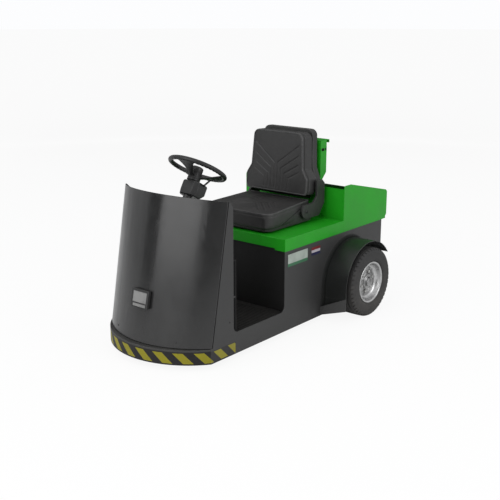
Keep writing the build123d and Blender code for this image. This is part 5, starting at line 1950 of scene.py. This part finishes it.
# -------------------------------------------------------------------------- studio
@dataclass
class Studio:
    """Pale floor, soft lamps and the camera."""

    camera_place: tuple[float, float, float] = (3.3105, -4.034, 1.8692)
    azimuth: float = 39.4
    elevation: float = 15.5
    lens: float = 64.70
    world_level: float = 0.72
    white_level: float = 0.992
    mirror_level: float = 0.75
    floor_size: float = 60.0
    floor_glow: float = 0.9
    lamps: tuple[tuple[str, float, float, float, float, float, float], ...] = (
        ("nose_softbox", -3.7, 26.0, 7.0, 6.3, 5.8, 255.0),
        ("left_softbox", 92.0, 24.0, 7.0, 4.5, 3.0, 130.0),
        ("top_softbox", 10.0, 84.0, 6.0, 5.0, 5.0, 40.0))
    cards: tuple[tuple[str, float, float], ...] = (
        ("dark_card_right", -37.5, 17.0), ("dark_card_left", 37.0, 28.0),
        ("dark_card_rear", -141.0, 50.0))
    card_distance: float = 7.5
    card_low: float = 0.35
    card_high: float = 6.0

    def build(self) -> None:
        """Sets the camera, the world, the floor and the lamps."""
        scene = bpy.context.scene
        scene.view_settings.view_transform = "Standard"
        self.camera()
        self.world()
        self.floor()
        for lamp in self.lamps:
            self.lamp(*lamp)
        for card in self.cards:
            self.card(*card)

    def camera(self) -> None:
        """The camera at its viewing angle."""
        data = bpy.data.cameras.new("view")
        data.lens, data.sensor_width = self.lens, 36.0
        obj = bpy.data.objects.new("view", data)
        bpy.context.scene.collection.objects.link(obj)
        obj.location = self.camera_place
        obj.rotation_mode = "QUATERNION"
        back = self.direction(self.azimuth, self.elevation)
        obj.rotation_quaternion = (-back).to_track_quat("-Z", "Y")
        bpy.context.scene.camera = obj

    def world(self) -> None:
        """Even grey light, white where the camera or a mirror looks at it."""
        world = bpy.data.worlds.new("studio")
        bpy.context.scene.world = world
        world.use_nodes = True
        world.node_tree.nodes.clear()
        s = Sketch(world.node_tree)
        path = s.add("ShaderNodeLightPath").outputs
        seen = s.sums("MULTIPLY", s.sums("MAXIMUM", path["Is Camera Ray"],
                                         path["Is Transmission Ray"]), self.white_level)
        glossy = s.sums("MULTIPLY", path["Is Glossy Ray"], self.mirror_level)
        level = s.sums("MAXIMUM", s.sums("MAXIMUM", seen, glossy), self.world_level)
        light = s.add("ShaderNodeBackground")
        s.feed(light.inputs["Color"], (0.985, 0.99, 1.0))
        s.feed(light.inputs["Strength"], level)
        s.feed(s.add("ShaderNodeOutputWorld").inputs["Surface"], light.outputs[0])

    def floor(self) -> None:
        """A wide pale floor that keeps the tug's shadow."""
        mesh = bmesh.new()
        bmesh.ops.create_circle(mesh, cap_ends=True, radius=self.floor_size, segments=64)
        obj = new_object("studio_floor", mesh, outward=False)
        material = bpy.data.materials.new("studio_floor_white")
        material.use_nodes = True
        material.node_tree.nodes.clear()
        s = Sketch(material.node_tree)
        matt = s.add("ShaderNodeBsdfDiffuse")
        s.feed(matt.inputs["Color"], (0.84, 0.84, 0.84))
        glow = s.add("ShaderNodeEmission")
        s.feed(glow.inputs["Strength"], 1.0)
        path = s.add("ShaderNodeLightPath").outputs
        mixed = s.add("ShaderNodeMixShader")
        s.feed(mixed.inputs[0], s.sums("MULTIPLY", path["Is Camera Ray"], self.floor_glow))
        s.feed(mixed.inputs[1], matt.outputs[0])
        s.feed(mixed.inputs[2], glow.outputs[0])
        s.feed(s.add("ShaderNodeOutputMaterial").inputs["Surface"], mixed.outputs[0])
        obj.data.materials.append(material)
        obj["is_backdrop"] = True

    def direction(self, azimuth: float, elevation: float) -> Vector:
        """Unit vector from the tug; azimuth 0 is ahead of the nose, 90 its left."""
        a, e = math.radians(azimuth), math.radians(elevation)
        return Vector((math.sin(a) * math.cos(e), -math.cos(a) * math.cos(e), math.sin(e)))

    def lamp(self, name: str, azimuth: float, elevation: float, distance: float, width: float,
             height: float, power: float) -> None:
        """A rectangular softbox that looks at the tug.

        Args:
            name: the lamp's name.
            azimuth: degrees round from ahead of the nose towards the tug's left.
            elevation: degrees above the ground.
            distance: metres from the tug.
            width: the box's width in metres.
            height: its height in metres.
            power: watts.
        """
        data = bpy.data.lights.new(name, "AREA")
        data.shape, data.size, data.size_y, data.energy = "RECTANGLE", width, height, power
        obj = bpy.data.objects.new(name, data)
        bpy.context.scene.collection.objects.link(obj)
        out = self.direction(azimuth, elevation)
        obj.location = Vector((0.0, 0.0, 0.5)) + out * distance
        obj.rotation_mode = "QUATERNION"
        obj.rotation_quaternion = (-out).to_track_quat("-Z", "Y")
        obj.visible_camera = False

    def card(self, name: str, azimuth: float, width: float) -> None:
        """A dark upright card outside the view, seen only in reflections."""
        mesh = bmesh.new()
        rows = []
        for k in range(5):
            out = self.direction(azimuth + width * (k / 4 - 0.5), 0.0) * self.card_distance
            rows.append([mesh.verts.new(out + Vector((0, 0, z)))
                         for z in (self.card_low, self.card_high)])
        for a, b in zip(rows, rows[1:]):
            mesh.faces.new((a[0], b[0], b[1], a[1]))
        obj = new_object(name, mesh, outward=False)
        material = bpy.data.materials.get("dark_card") or bpy.data.materials.new("dark_card")
        material.use_nodes = True
        material.node_tree.nodes["Principled BSDF"].inputs["Base Color"].default_value = (
            0.03, 0.03, 0.03, 1.0)
        obj.data.materials.append(material)
        obj.visible_camera = False
        obj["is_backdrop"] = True


def main() -> None:
    """Builds the tug and its studio."""
    logging.basicConfig(level=logging.INFO, format="%(name)s: %(message)s")
    assemblies = (
        ("studio", Studio()), ("body shell", BodyShell()), ("seat", Seat()),
        ("steering", Steering()), ("rear wheel, left", RearWheel(1, Body.REAR_LEFT, "left")),
        ("rear wheel, right", RearWheel(-1, Body.REAR_RIGHT, "right")),
        ("front wheel", FrontWheel()), ("fittings", Fittings()),
    )
    for name, assembly in assemblies:
        before = {o.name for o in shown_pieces()}
        assembly.build()
        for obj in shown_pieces():
            if obj.name not in before:
                LOG.info("%s: %s, %d faces", name, obj.name, len(obj.data.polygons))


if __name__ == "__main__":
    main()
